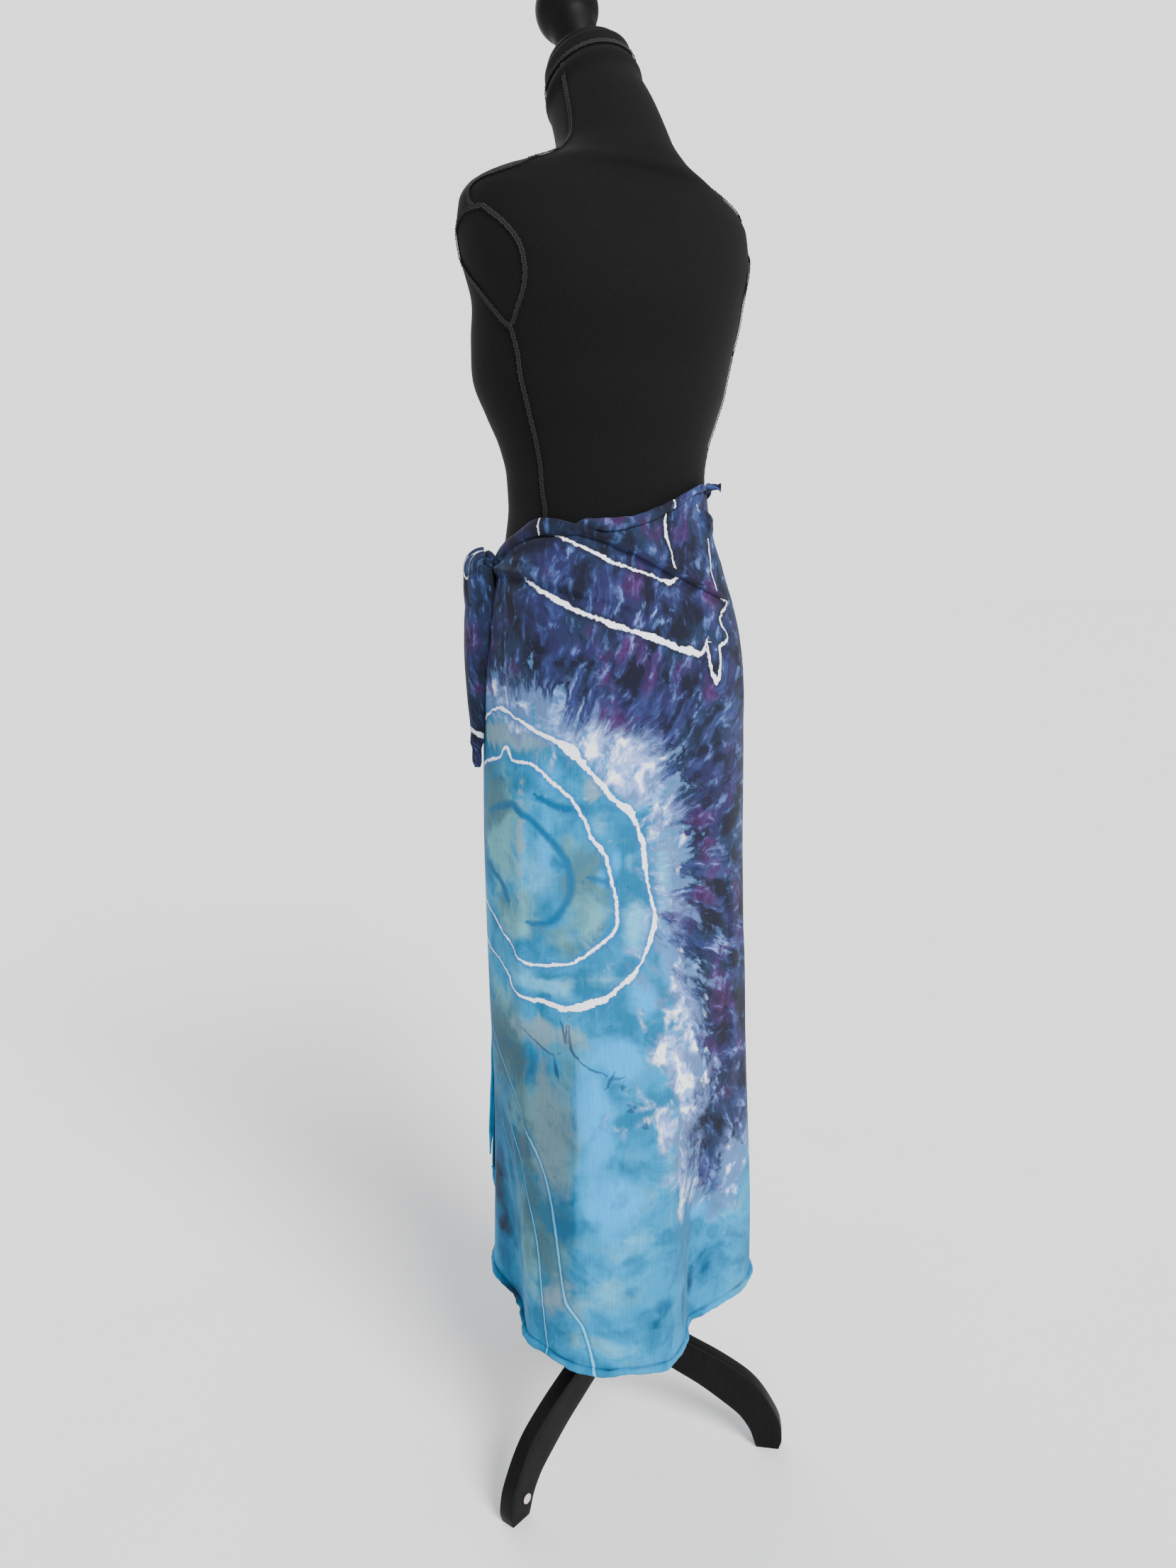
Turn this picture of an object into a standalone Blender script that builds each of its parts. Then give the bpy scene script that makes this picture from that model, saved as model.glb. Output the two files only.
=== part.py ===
# Sarong of dyed cotton jersey, tied round a limbless dress form on a wooden tripod.
#
# Metres, +Z up, the floor at z = 0. The wearer's front is -Y and the wearer's left is +X.
# Places round the body are turns in degrees, seen from above: 0 is the wearer's left,
# 90 the back, 180 the right and 270 the front. The cloth's own measures are (turn, height).

from collections import namedtuple
from math import cos, pi, radians, sin

import bmesh
import bpy
from mathutils import Vector


# Driving sizes of the cloth

CLOTH = 0.0016            # thickness of the jersey wall
SEAM_GAP = 0.0003         # air between pieces that touch
SEAT_GAP = 0.0012         # air between the form and the cloth that rests on it
LAYER_LIFT = 0.0052       # how far the outer layer lies over its own start
WRAP_START = -78          # turn of the cloth's hidden inner edge
WRAP_END = 315            # turn of the outer layer's free edge
CORNER_LEAD = 2           # degrees that its lifted corner reaches further round
HEM_HEIGHT = 0.207        # lower end of the wall, all round
HIP_HEIGHT = 0.948        # above this the cloth lies on the form
LOOSE_HEIGHT = 0.888      # below this it hangs free
ROLL_TALL = 0.017         # height of the rolled waist edge
ROLL_THICK = 0.0065       # its thickness
HEM_ROLL_THICK = 0.0085   # diameter of the rolled hem
SIDE_ROLL_THICK = 0.0060  # diameter of the rolled side edge
PLEAT_OUT = SEAM_GAP * 3  # inner side of the over-folds, out from the wall
PLEAT_LAYER = CLOTH * 1.2
PLEAT_SHY = 0.0016        # how far the over-folds stay back from the crease between them

# Driving sizes of the knot and its ends

KNOT_TURN = -21
KNOT_HEIGHT = 1.088
KNOT_OUT = 0.0174         # middle of the knot, out from the cloth under it
KNOT_HALF_SIZES = (0.0190, 0.0270, 0.0285)   # of its cage: out, round the body, up
TAIL_LENGTH = 0.205
TAIL_WIDTH = 0.038
TAIL_FRONT_LENGTH = 0.110
TAIL_FRONT_WIDTH = 0.030
TAIL_LAYER = CLOTH * 1.4  # wall of the gathered ends
PUFF_OUT = 0.0075         # how far the puff at the right hip stands out
PUFF_SEAT = 0.0042        # its edge, clear of the over-fold that it lies on
PUFF_TURNS = (125, 139)
PUFF_HEIGHTS = (1.151, 1.120)
TIP_THICK = 0.0044        # half the thickness of the twisted bit of edge beside the puff
TIP_LENGTH = 0.0180
TIP_TURN = 137.6

# Driving sizes of the form and its stand

STAND_X = -0.0140         # the pole's place, which centres the whole on the origin
STAND_Y = 0.0195
FORM_BOTTOM = 0.866
NECK_LEAN = 30            # degrees that the neck and its finial lean to the front
CAP_RADIUS = 0.0450
CAP_THICK = 0.0110
CAP_EDGE = 0.0030         # its chamfer
FINIAL_RADIUS = 0.0355
FINIAL_MIDDLE = 0.0745    # middle of its ball, along its own axis
POLE_RADIUS = 0.0150
HUB_RADIUS = 0.0300
LEG_WIDTH = 0.0190
LEG_TURNS = (18, 138, 258)
LEG_EDGE_ROUND = 0.0028
PLUG_RADIUS = 0.0060
PLUG_THICK = 0.0015
PLUG_REACH = 0.1830       # its place on the leg, out from the pole's axis
PLUG_HEIGHT = 0.0240

# How finely the pieces are divided, and how far the body's level sections are from ellipses

FORM_SQUARENESS = 2.16
FORM_COLUMNS = 40
DEGREES_A_COLUMN = 5.0    # of the skirt's wall and of its hem, round the body
SKIRT_ROWS_ON_FORM = 11
SKIRT_ROWS_HANGING = 10
TAIL_ROWS = 13
LEG_STEPS = 15
TURNED_STEPS = 20


# Short tables

Section = namedtuple("Section", "height half_width half_depth centre_y")

# The form, from its rounded bottom edge up to the base of the neck
FORM_SECTIONS = (
    Section(0.866, 0.1280, 0.0980, -0.0095),
    Section(0.872, 0.1420, 0.1120, -0.0095),
    Section(0.888, 0.1510, 0.1215, -0.0095),
    Section(0.928, 0.1530, 0.1235, -0.0090),
    Section(0.968, 0.1515, 0.1215, -0.0090),
    Section(1.008, 0.1480, 0.1170, -0.0105),
    Section(1.048, 0.1420, 0.1100, -0.0150),
    Section(1.088, 0.1315, 0.1010, -0.0200),
    Section(1.123, 0.1210, 0.0945, -0.0240),
    Section(1.158, 0.1160, 0.0920, -0.0270),
    Section(1.188, 0.1165, 0.0925, -0.0295),
    Section(1.218, 0.1225, 0.0950, -0.0330),
    Section(1.253, 0.1365, 0.1030, -0.0370),
    Section(1.288, 0.1500, 0.1090, -0.0400),
    Section(1.328, 0.1560, 0.1080, -0.0330),
    Section(1.368, 0.1610, 0.1020, -0.0235),
    Section(1.408, 0.1715, 0.0950, -0.0250),
    Section(1.438, 0.1755, 0.0885, -0.0265),
    Section(1.460, 0.1735, 0.0830, -0.0260),
    Section(1.476, 0.1635, 0.0800, -0.0275),
    Section(1.488, 0.1420, 0.0750, -0.0240),
    Section(1.499, 0.1090, 0.0680, -0.0140),
    Section(1.512, 0.0800, 0.0590, -0.0080),
    Section(1.530, 0.0650, 0.0580, -0.0160),
    Section(1.558, 0.0570, 0.0570, -0.0330),
    Section(1.588, 0.0520, 0.0540, -0.0520),
    Section(1.625, 0.0490, 0.0500, -0.0680),
)

# The outer side of the cloth where it hangs free of the form
HANG_SECTIONS = (
    Section(0.200, 0.1560, 0.1560, 0.0040),
    Section(0.300, 0.1560, 0.1520, 0.0050),
    Section(0.400, 0.1550, 0.1470, 0.0040),
    Section(0.500, 0.1540, 0.1420, 0.0020),
    Section(0.600, 0.1540, 0.1390, -0.0030),
    Section(0.700, 0.1560, 0.1330, -0.0070),
    Section(0.800, 0.1570, 0.1290, -0.0095),
    Section(0.900, 0.1560, 0.1270, -0.0095),
    Section(1.000, 0.1530, 0.1220, -0.0095),
)

# The deep folds of the hanging cloth: how far each stands out (or in) at the hem, how wide it
# is on either side of its middle, and where it fades out upwards
Fold = namedtuple("Fold", "turn before after out fades_at full_at")
FOLDS = (
    Fold(108, 23, 29, -0.0500, 0.66, 0.24),
    Fold(74, 16, 8, 0.0060, 0.70, 0.30),
    Fold(45, 22, 18, 0.0095, 0.70, 0.24),
    Fold(-12, 20, 22, -0.0270, 0.62, 0.22),
    Fold(-56, 18, 14, 0.0040, 0.60, 0.24),
    Fold(156, 14, 16, 0.0080, 0.62, 0.24),
    Fold(196, 15, 14, -0.0250, 0.70, 0.24),
    Fold(226, 13, 13, 0.0090, 0.66, 0.24),
    Fold(252, 13, 13, -0.0210, 0.80, 0.24),
    Fold(283, 14, 12, 0.0080, 0.66, 0.24),
    Fold(14, 5, 6, 0.0030, 1.02, 0.72),
)

# Height of the top edge of the cloth round the body
Edge = namedtuple("Edge", "turn height")
TOP_EDGE = (
    Edge(-78, 1.113),
    Edge(-45, 1.096),
    Edge(-20, 1.100),
    Edge(0, 1.118),
    Edge(22, 1.138),
    Edge(42, 1.141),
    Edge(75, 1.144),
    Edge(101, 1.160),
    Edge(130, 1.179),
    Edge(165, 1.182),
    Edge(200, 1.173),
    Edge(240, 1.150),
    Edge(282, 1.123),
    Edge(315, 1.100),
    Edge(345, 1.100),
)

# Height of the hem: level, but for the outer layer's corner, which the knot lifts
HEM_EDGE = (
    Edge(-78, HEM_HEIGHT + 0.026),
    Edge(-28, HEM_HEIGHT + 0.018),
    Edge(-8, HEM_HEIGHT + 0.008),
    Edge(24, HEM_HEIGHT + 0.005),
    Edge(50, HEM_HEIGHT),
    Edge(108, HEM_HEIGHT),
    Edge(134, HEM_HEIGHT + 0.010),
    Edge(154, HEM_HEIGHT + 0.013),
    Edge(190, HEM_HEIGHT + 0.002),
    Edge(225, HEM_HEIGHT),
    Edge(262, HEM_HEIGHT + 0.012),
    Edge(290, HEM_HEIGHT + 0.052),
    Edge(306, HEM_HEIGHT + 0.106),
    Edge(315, HEM_HEIGHT + 0.148),
)

# The stretches of the one cloth: the hidden start and the left, the right back, the front
Stretch = namedtuple("Stretch", "name start end")
STRETCHES = (
    Stretch("skirt_left", WRAP_START, 108),
    Stretch("skirt_right", 108, 214),
    Stretch("skirt_front", 214, WRAP_END),
)
STRETCH_SHY = 0.16        # degrees that each stretch stays back from where it meets the next

# The crease between the two over-folds, from the waist roll to the right hip
CREASE = (
    Edge(-14, 1.106),
    Edge(6, 1.112),
    Edge(38, 1.118),
    Edge(60, 1.104),
    Edge(91, 1.077),
    Edge(123, 1.052),
    Edge(138, 1.044),
)

# The lower edge of the pleat that fans out from the knot
PLEAT_LOW = (
    Edge(-12, 1.084),
    Edge(2, 1.081),
    Edge(20, 1.078),
    Edge(38, 1.062),
    Edge(56, 1.060),
    Edge(72, 1.074),
    Edge(80, 1.082),
)

# The leg's two edges, as distance from the pole's axis and height, from the hub to the foot
Rim = namedtuple("Rim", "at reach top low_reach low")
LEG_RIMS = (
    Rim(1, HUB_RADIUS + SEAM_GAP, 0.1600, HUB_RADIUS + SEAM_GAP, 0.1180),
    Rim(2, 0.0640, 0.1490, 0.0520, 0.1080),
    Rim(3, 0.0940, 0.1340, 0.0760, 0.0950),
    Rim(4, 0.1345, 0.1140, 0.1050, 0.0790),
    Rim(5, 0.1720, 0.0890, 0.1330, 0.0600),
    Rim(6, 0.1930, 0.0620, 0.1580, 0.0400),
    Rim(7, 0.2070, 0.0330, 0.1710, 0.0200),
    Rim(8, 0.2095, 0.0140, 0.1750, 0.0080),
    Rim(9, 0.2060, 0.0000, 0.1780, 0.0000),
)

# Turned profiles, as radius and height along their own axis, top to bottom
Ring = namedtuple("Ring", "radius along")
FINIAL_RINGS = (
    Ring(0.0000, 0.1300),
    Ring(0.0070, 0.1288),
    Ring(0.0105, 0.1250),
    Ring(0.0110, 0.1200),
    Ring(0.0090, 0.1150),
    Ring(0.0085, 0.1110),
)
FINIAL_FOOT_RINGS = (
    Ring(0.0250, 0.0360),
    Ring(0.0205, 0.0240),
    Ring(0.0190, 0.0150),
    Ring(0.0225, 0.0100),
    Ring(0.0235, 0.0050),
    Ring(0.0225, 0.0000),
    Ring(0.0000, 0.0000),
)
HUB_RINGS = (
    Ring(0.0000, 0.2330),
    Ring(0.0180, 0.2330),
    Ring(0.0230, 0.2300),
    Ring(0.0245, 0.2230),
    Ring(0.0215, 0.2150),
    Ring(0.0215, 0.2030),
    Ring(HUB_RADIUS, 0.1880),
    Ring(HUB_RADIUS, 0.1120),
    Ring(0.0270, 0.1060),
    Ring(0.0000, 0.1060),
)


# Curves through the tables

def smooth_step(low, high, value):
    """0 at low, 1 at high, and smooth between."""
    share = min(1.0, max(0.0, (value - low) / (high - low)))
    return share * share * (3 - 2 * share)


def through(rows, key, column, place):
    """A smooth curve through one column of a table, read at a place along its key column."""
    keys = [getattr(row, key) for row in rows]
    values = [getattr(row, column) for row in rows]
    if place <= keys[0]:
        return values[0]
    if place >= keys[-1]:
        return values[-1]
    last = len(keys) - 1
    i = max(k for k in range(last) if keys[k] <= place)
    span = keys[i + 1] - keys[i]
    rise = (values[i + 1] - values[i]) / span

    def slope(k):
        if k == 0 or k == last:
            return (values[1] - values[0]) / (keys[1] - keys[0]) if k == 0 else rise
        before = (values[k] - values[k - 1]) / (keys[k] - keys[k - 1])
        after = (values[k + 1] - values[k]) / (keys[k + 1] - keys[k])
        if before * after <= 0:
            return 0.0
        return 2 * before * after / (before + after)

    t = (place - keys[i]) / span
    start = (1 + 2 * t) * (1 - t) ** 2 * values[i] + t * (1 - t) ** 2 * span * slope(i)
    end = t * t * (3 - 2 * t) * values[i + 1] + t * t * (t - 1) * span * slope(i + 1)
    return start + end


def spread(low, high, count, power=1.0):
    """Even steps from low to high, closer together at low when power is over 1."""
    return [low + (high - low) * (k / (count - 1)) ** power for k in range(count)]


# The surface that every stretch of the cloth is made from

def section_radius(sections, turn, height, squareness):
    """Radius of a level section towards a turn, and the section's middle."""
    half_width = through(sections, "height", "half_width", height)
    half_depth = through(sections, "height", "half_depth", height)
    centre_y = through(sections, "height", "centre_y", height)
    angle = radians(turn)
    across = abs(cos(angle) / half_width) ** squareness
    along = abs(sin(angle) / half_depth) ** squareness
    return (across + along) ** (-1 / squareness), centre_y


def cloth_radius(turn, height):
    """The cloth's outer side: on the form above the hips, hanging in folds below."""
    form_height = max(height, LOOSE_HEIGHT)
    on_form, form_y = section_radius(FORM_SECTIONS, turn, form_height, FORM_SQUARENESS)
    on_form += CLOTH + SEAT_GAP
    hanging, hang_y = section_radius(HANG_SECTIONS, turn, height, FORM_SQUARENESS)
    free = 1 - smooth_step(LOOSE_HEIGHT, HIP_HEIGHT, height)
    radius = on_form + (hanging - on_form) * free
    centre_y = form_y + (hang_y - form_y) * free
    for fold in FOLDS:
        away = (turn - fold.turn + 180) % 360 - 180
        width = fold.before if away < 0 else fold.after
        depth = 1 - smooth_step(fold.full_at, fold.fades_at, height)
        radius += fold.out * depth * cos(min(1.0, abs(away) / (2 * width)) * pi / 2) ** 4
    return radius, centre_y


def layer_lift(turn):
    """How far the outer layer stands off its own start."""
    return LAYER_LIFT * smooth_step(205, 270, turn)


def wrap_point(turn, height, out=0.0):
    """A point of the cloth's outer side, moved out level by a distance."""
    radius, centre_y = cloth_radius(turn, height)
    radius += layer_lift(turn) + out
    angle = radians(turn)
    return Vector((radius * cos(angle), centre_y + radius * sin(angle), height))


def edge_height(rows, turn):
    return through(rows, "turn", "height", turn)


def wall_frame(turn, height):
    """At a point of the cloth: the way out from it, and the way up along it."""
    step = 0.004
    up = (wrap_point(turn, height + step) - wrap_point(turn, height - step)).normalized()
    along = (wrap_point(turn + 1, height) - wrap_point(turn - 1, height)).normalized()
    return along.cross(up).normalized(), up


def corner_lead(turn, height):
    """How much further round the free edge reaches at its lifted corner."""
    near_corner = 1 - smooth_step(0.355, 0.508, height)
    return CORNER_LEAD * near_corner * smooth_step(285, WRAP_END, turn)


# Making meshes and objects

def new_object(name, mesh, material, group, smooth_angle=40):
    mesh.materials.append(material)
    mesh.shade_smooth()
    mesh.set_sharp_from_angle(angle=radians(smooth_angle))
    piece = bpy.data.objects.new(name, mesh)
    piece.parent = group["axis"]
    group["parts"].objects.link(piece)
    return piece


def grid_mesh(name, rings, wrap=False, caps=False):
    """A mesh over equally long rings of points, each ring joined to the next."""
    form = bmesh.new()
    layers = [[form.verts.new(point) for point in ring] for ring in rings]
    count = len(layers[0])
    for lower, upper in zip(layers, layers[1:]):
        for k in range(count if wrap else count - 1):
            nxt = (k + 1) % count
            form.faces.new((lower[k], lower[nxt], upper[nxt], upper[k]))
    if caps:
        form.faces.new(list(reversed(layers[0])))
        form.faces.new(layers[-1])
        bmesh.ops.recalc_face_normals(form, faces=form.faces)
    mesh = bpy.data.meshes.new(name)
    form.to_mesh(mesh)
    form.free()
    return mesh


def solidify(piece, thickness, offset):
    wall = piece.modifiers.new("wall", "SOLIDIFY")
    wall.thickness = thickness
    wall.offset = offset
    wall.use_even_offset = True


def swept_mesh(name, path, frames, outline):
    """A tube over a path, whose outline at each place is given in its own across and up."""
    rings = []
    for k, (point, (across, up)) in enumerate(zip(path, frames)):
        rings.append([point + across * a + up * b for a, b in outline(k / (len(path) - 1))])
    return grid_mesh(name, rings, wrap=True, caps=True)


def level_frames(path, middle_y):
    """For a path round the body: across points out from the body's middle, up is upright."""
    frames = []
    for point in path:
        away = Vector((point.x, point.y - middle_y, 0.0)).normalized()
        frames.append((away, Vector((0.0, 0.0, 1.0))))
    return frames


def ellipse(half_across, half_up, count):
    angles = [2 * pi * k / count for k in range(count)]
    return [(half_across * cos(t), half_up * sin(t)) for t in angles]


def taper(share, ends):
    """1 along a roll and narrowing to a third at its two ends."""
    near = min(share, 1 - share) / ends
    return 0.33 + 0.67 * smooth_step(0.0, 1.0, near)


# The form and its stand

def form_ring(height):
    """A level section of the torso, which tips forward with the neck towards the top."""
    lean = radians(NECK_LEAN) * smooth_step(1.513, 1.573, height)
    ring = []
    for k in range(FORM_COLUMNS):
        turn = 360 * k / FORM_COLUMNS
        squareness = FORM_SQUARENESS + 0.3 * smooth_step(1.35, 1.43, height)
        squareness -= 0.46 * smooth_step(1.48, 1.53, height)
        radius, centre_y = section_radius(FORM_SECTIONS, turn, height, squareness)
        across = radius * cos(radians(turn))
        along = radius * sin(radians(turn))
        ring.append((across, centre_y + along * cos(lean), height + along * sin(lean)))
    return ring


def make_form(group):
    torso = spread(FORM_BOTTOM, LOOSE_HEIGHT, 4)[:-1] + spread(LOOSE_HEIGHT, 1.440, 24)[:-1]
    shoulder = spread(1.440, 1.530, 9)[:-1] + spread(1.530, FORM_SECTIONS[-1].height, 5)
    mesh = grid_mesh("form_body", [form_ring(height) for height in torso + shoulder], True, True)
    new_object("form_body", mesh, group["jersey_black"], group, 60)


def turned(name, rings, steps, material, group):
    """A turned shape: half its outline, spun round its own axis."""
    form = bmesh.new()
    points = [form.verts.new((ring.radius, 0.0, ring.along)) for ring in rings]
    for upper, lower in zip(points, points[1:]):
        form.edges.new((upper, lower))
    mesh = bpy.data.meshes.new(name)
    form.to_mesh(mesh)
    form.free()
    piece = new_object(name, mesh, material, group)
    screw = piece.modifiers.new("turned", "SCREW")
    screw.steps = steps
    screw.render_steps = steps
    screw.use_merge_vertices = True
    screw.merge_threshold = 0.00005
    screw.use_smooth_shade = True
    return piece


def neck_place(along):
    """A place on the leaning axis of the neck, so far above the top of the jersey."""
    lean = radians(NECK_LEAN)
    top = FORM_SECTIONS[-1]
    return Vector((0.0, top.centre_y - along * sin(lean), top.height + along * cos(lean)))


def make_cap_and_finial(group):
    cap_rings = (
        Ring(0.0000, CAP_THICK),
        Ring(CAP_RADIUS - CAP_EDGE, CAP_THICK),
        Ring(CAP_RADIUS, CAP_THICK - CAP_EDGE),
        Ring(CAP_RADIUS, CAP_EDGE),
        Ring(CAP_RADIUS - CAP_EDGE, 0.0000),
        Ring(0.0000, 0.0000),
    )
    cap = turned("neck_cap", cap_rings, 28, group["wood_black"], group)
    cap.location = neck_place(SEAM_GAP)
    cap.rotation_euler = (radians(NECK_LEAN), 0.0, 0.0)

    ball_rings = []
    for angle in range(69, -31, -14):
        t = radians(angle)
        ball_rings.append(Ring(FINIAL_RADIUS * cos(t), FINIAL_MIDDLE + FINIAL_RADIUS * sin(t)))
    rings = list(FINIAL_RINGS) + ball_rings + list(FINIAL_FOOT_RINGS)
    finial = turned("finial", rings, TURNED_STEPS, group["wood_black"], group)
    finial.location = neck_place(SEAM_GAP + CAP_THICK + SEAM_GAP)
    finial.rotation_euler = (radians(NECK_LEAN), 0.0, 0.0)


def make_pole_and_hub(group):
    rod_bottom = HUB_RINGS[0].along + SEAM_GAP
    rod_top = FORM_BOTTOM - SEAM_GAP
    rod_rings = (
        Ring(0.0000, rod_top),
        Ring(POLE_RADIUS, rod_top),
        Ring(POLE_RADIUS, rod_bottom),
        Ring(0.0000, rod_bottom),
    )
    turned("pole", rod_rings, TURNED_STEPS, group["wood_black"], group)
    turned("hub", HUB_RINGS, TURNED_STEPS, group["wood_black"], group)


def make_leg(number, turn, group):
    """A bent leg sawn from a board: its two edges joined, given the board's thickness."""
    rings = []
    for at in spread(1, len(LEG_RIMS), LEG_STEPS):
        upper = (through(LEG_RIMS, "at", "reach", at), 0.0, through(LEG_RIMS, "at", "top", at))
        lower = (through(LEG_RIMS, "at", "low_reach", at), 0.0, through(LEG_RIMS, "at", "low", at))
        rings.append([upper, lower])
    name = f"leg_{number}"
    piece = new_object(name, grid_mesh(name, rings), group["wood_black"], group)
    piece.rotation_euler = (0.0, 0.0, radians(turn))
    solidify(piece, LEG_WIDTH, 0.0)
    edges = piece.modifiers.new("eased edges", "BEVEL")
    edges.width = LEG_EDGE_ROUND
    edges.segments = 1
    edges.limit_method = "ANGLE"
    edges.angle_limit = radians(50)


def make_plug(group):
    """The small round plug near a foot, on the leg's side that faces the back."""
    mesh = bpy.data.meshes.new("leg_plug")
    form = bmesh.new()
    bmesh.ops.create_cone(form, cap_ends=True, segments=16, radius1=PLUG_RADIUS,
                          radius2=PLUG_RADIUS * 0.8, depth=PLUG_THICK)
    form.to_mesh(mesh)
    form.free()
    piece = new_object("leg_plug", mesh, group["plug_pale"], group)
    turn = radians(LEG_TURNS[0])
    side = LEG_WIDTH / 2 + SEAM_GAP + PLUG_THICK / 2
    across = PLUG_REACH * cos(turn) - side * sin(turn)
    along = PLUG_REACH * sin(turn) + side * cos(turn)
    piece.location = (across, along, PLUG_HEIGHT)
    piece.rotation_euler = (-pi / 2, 0.0, turn)


# The cloth

def make_stretch(stretch, group):
    """One stretch of the wrapped wall, from the waist roll down to the hem."""
    low = stretch.start + STRETCH_SHY
    high = stretch.end - STRETCH_SHY
    rings = []
    for turn in spread(low, high, round((high - low) / DEGREES_A_COLUMN) + 1):
        top = edge_height(TOP_EDGE, turn) - ROLL_TALL * 0.4
        hem = edge_height(HEM_EDGE, turn)
        heights = spread(top, LOOSE_HEIGHT, SKIRT_ROWS_ON_FORM)[:-1]
        heights += spread(LOOSE_HEIGHT, hem, SKIRT_ROWS_HANGING)
        rings.append([wrap_point(turn + corner_lead(turn, h), h) for h in heights])
    mesh = grid_mesh(stretch.name, rings)
    piece = new_object(stretch.name, mesh, group["jersey_dyed"], group, 80)
    solidify(piece, CLOTH, -1.0)


def make_hem_roll(group):
    """The raw edge, rolled up on itself, hanging just under the wall's lower end."""
    radius = HEM_ROLL_THICK / 2
    columns = round((WRAP_END - WRAP_START) / DEGREES_A_COLUMN) + 1
    turns = spread(WRAP_START + 1, WRAP_END - 1, columns)
    path = []
    for turn in turns:
        height = edge_height(HEM_EDGE, turn)
        lead = corner_lead(turn, height)
        point = wrap_point(turn + lead, height, -CLOTH / 2 + radius * 0.35)
        point.z = height - radius - SEAM_GAP
        path.append(point)
    frames = level_frames(path, HANG_SECTIONS[0].centre_y)

    def outline(share):
        size = taper(share, 0.02) * (1 + 0.10 * sin(share * 61) + 0.06 * sin(share * 143))
        return ellipse(radius * size, radius * min(size, 1.0), 6)

    mesh = swept_mesh("hem_roll", path, frames, outline)
    new_object("hem_roll", mesh, group["jersey_dyed"], group, 80)


def make_side_roll(group):
    """The outer layer's free edge, rolled towards the outside, from the knot to its corner."""
    radius = SIDE_ROLL_THICK / 2
    turn = WRAP_END - 2
    top = edge_height(TOP_EDGE, turn) - 0.150
    low = edge_height(HEM_EDGE, WRAP_END) + 0.006
    heights = spread(top, low, 20)
    turns = [turn + corner_lead(WRAP_END, height) for height in heights]
    path = [wrap_point(t, height, radius + SEAM_GAP * 2) for t, height in zip(turns, heights)]
    frames = []
    for t, height in zip(turns, heights):
        out, up = wall_frame(t, height)
        frames.append((out.cross(up), out))

    def outline(share):
        size = taper(share, 0.06)
        return ellipse(radius * 1.3 * size, radius * size, 8)

    mesh = swept_mesh("side_roll", path, frames, outline)
    new_object("side_roll", mesh, group["jersey_dyed"], group, 80)


Roll = namedtuple("Roll", "name start end points dip")
WAIST_ROLLS = (
    Roll("waist_roll_left", -13.8, 46, 15, 0.0040),
    Roll("waist_roll_back", 48, 137, 19, 0.0020),
    Roll("waist_roll_front", 151, 330, 30, 0.0020),
)


def make_waist_roll(roll, group):
    """A stretch of the rolled top edge, lying on the wall's outer side."""
    path = []
    turns = spread(roll.start, roll.end, roll.points)
    for k, turn in enumerate(turns):
        share = k / (roll.points - 1)
        height = edge_height(TOP_EDGE, turn) - ROLL_TALL * 0.5
        height -= roll.dip * (1 - smooth_step(0.0, 0.25, min(share, 1 - share)))
        path.append(wrap_point(turn, height, ROLL_THICK / 2 + SEAM_GAP * 2))
    frames = [wall_frame(turn, point.z) for turn, point in zip(turns, path)]

    def outline(share):
        size = taper(share, 0.12)
        return ellipse(ROLL_THICK / 2 * size, ROLL_TALL / 2 * size, 8)

    mesh = swept_mesh(roll.name, path, frames, outline)
    new_object(roll.name, mesh, group["jersey_dyed"], group, 80)


def make_pleat(name, turns, upper, lower, rows, group):
    """A soft over-fold: a second thickness of cloth that lies on the wall, under the roll."""
    rings = []
    for turn in turns:
        heights = spread(upper(turn), lower(turn), rows)
        rings.append([wrap_point(turn, height, PLEAT_OUT) for height in heights])
    piece = new_object(name, grid_mesh(name, rings), group["jersey_dyed"], group, 80)
    solidify(piece, PLEAT_LAYER, 1.0)


def make_pleats(group):
    def under_roll(turn):
        return edge_height(TOP_EDGE, turn) - ROLL_TALL - 0.0035

    def above_crease(turn):
        return edge_height(CREASE, turn) + PLEAT_SHY

    def below_crease(turn):
        return min(edge_height(CREASE, turn), under_roll(turn)) - PLEAT_SHY

    def knot_fan_low(turn):
        return edge_height(PLEAT_LOW, turn)

    make_pleat("pleat_knot", spread(-9, 80, 21), below_crease, knot_fan_low, 4, group)
    make_pleat("pleat_back", spread(50, 136, 19), under_roll, above_crease, 5, group)


def soft_lump(name, middle, half_sizes, turn, group):
    """A small stuffed shape: a box cage rounded off by subdivision."""
    form = bmesh.new()
    bmesh.ops.create_cube(form, size=2.0)
    bmesh.ops.scale(form, vec=half_sizes, verts=form.verts)
    mesh = bpy.data.meshes.new(name)
    form.to_mesh(mesh)
    form.free()
    piece = new_object(name, mesh, group["jersey_dyed"], group, 80)
    piece.location = middle
    piece.rotation_euler = (0.0, 0.0, radians(turn))
    rounding = piece.modifiers.new("rounding", "SUBSURF")
    rounding.levels = 2
    rounding.render_levels = 2


def make_knot(group):
    middle = wrap_point(KNOT_TURN, KNOT_HEIGHT, KNOT_OUT)
    soft_lump("knot", middle, KNOT_HALF_SIZES, KNOT_TURN, group)


Tail = namedtuple("Tail", "name turn_top turn_low top length width")
TAILS = (
    Tail("tail", KNOT_TURN + 1, KNOT_TURN + 3, 1.0640, TAIL_LENGTH, TAIL_WIDTH),
    Tail("tail_front", KNOT_TURN + 351, KNOT_TURN + 336, 1.0665, TAIL_FRONT_LENGTH, TAIL_FRONT_WIDTH),
)


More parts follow.
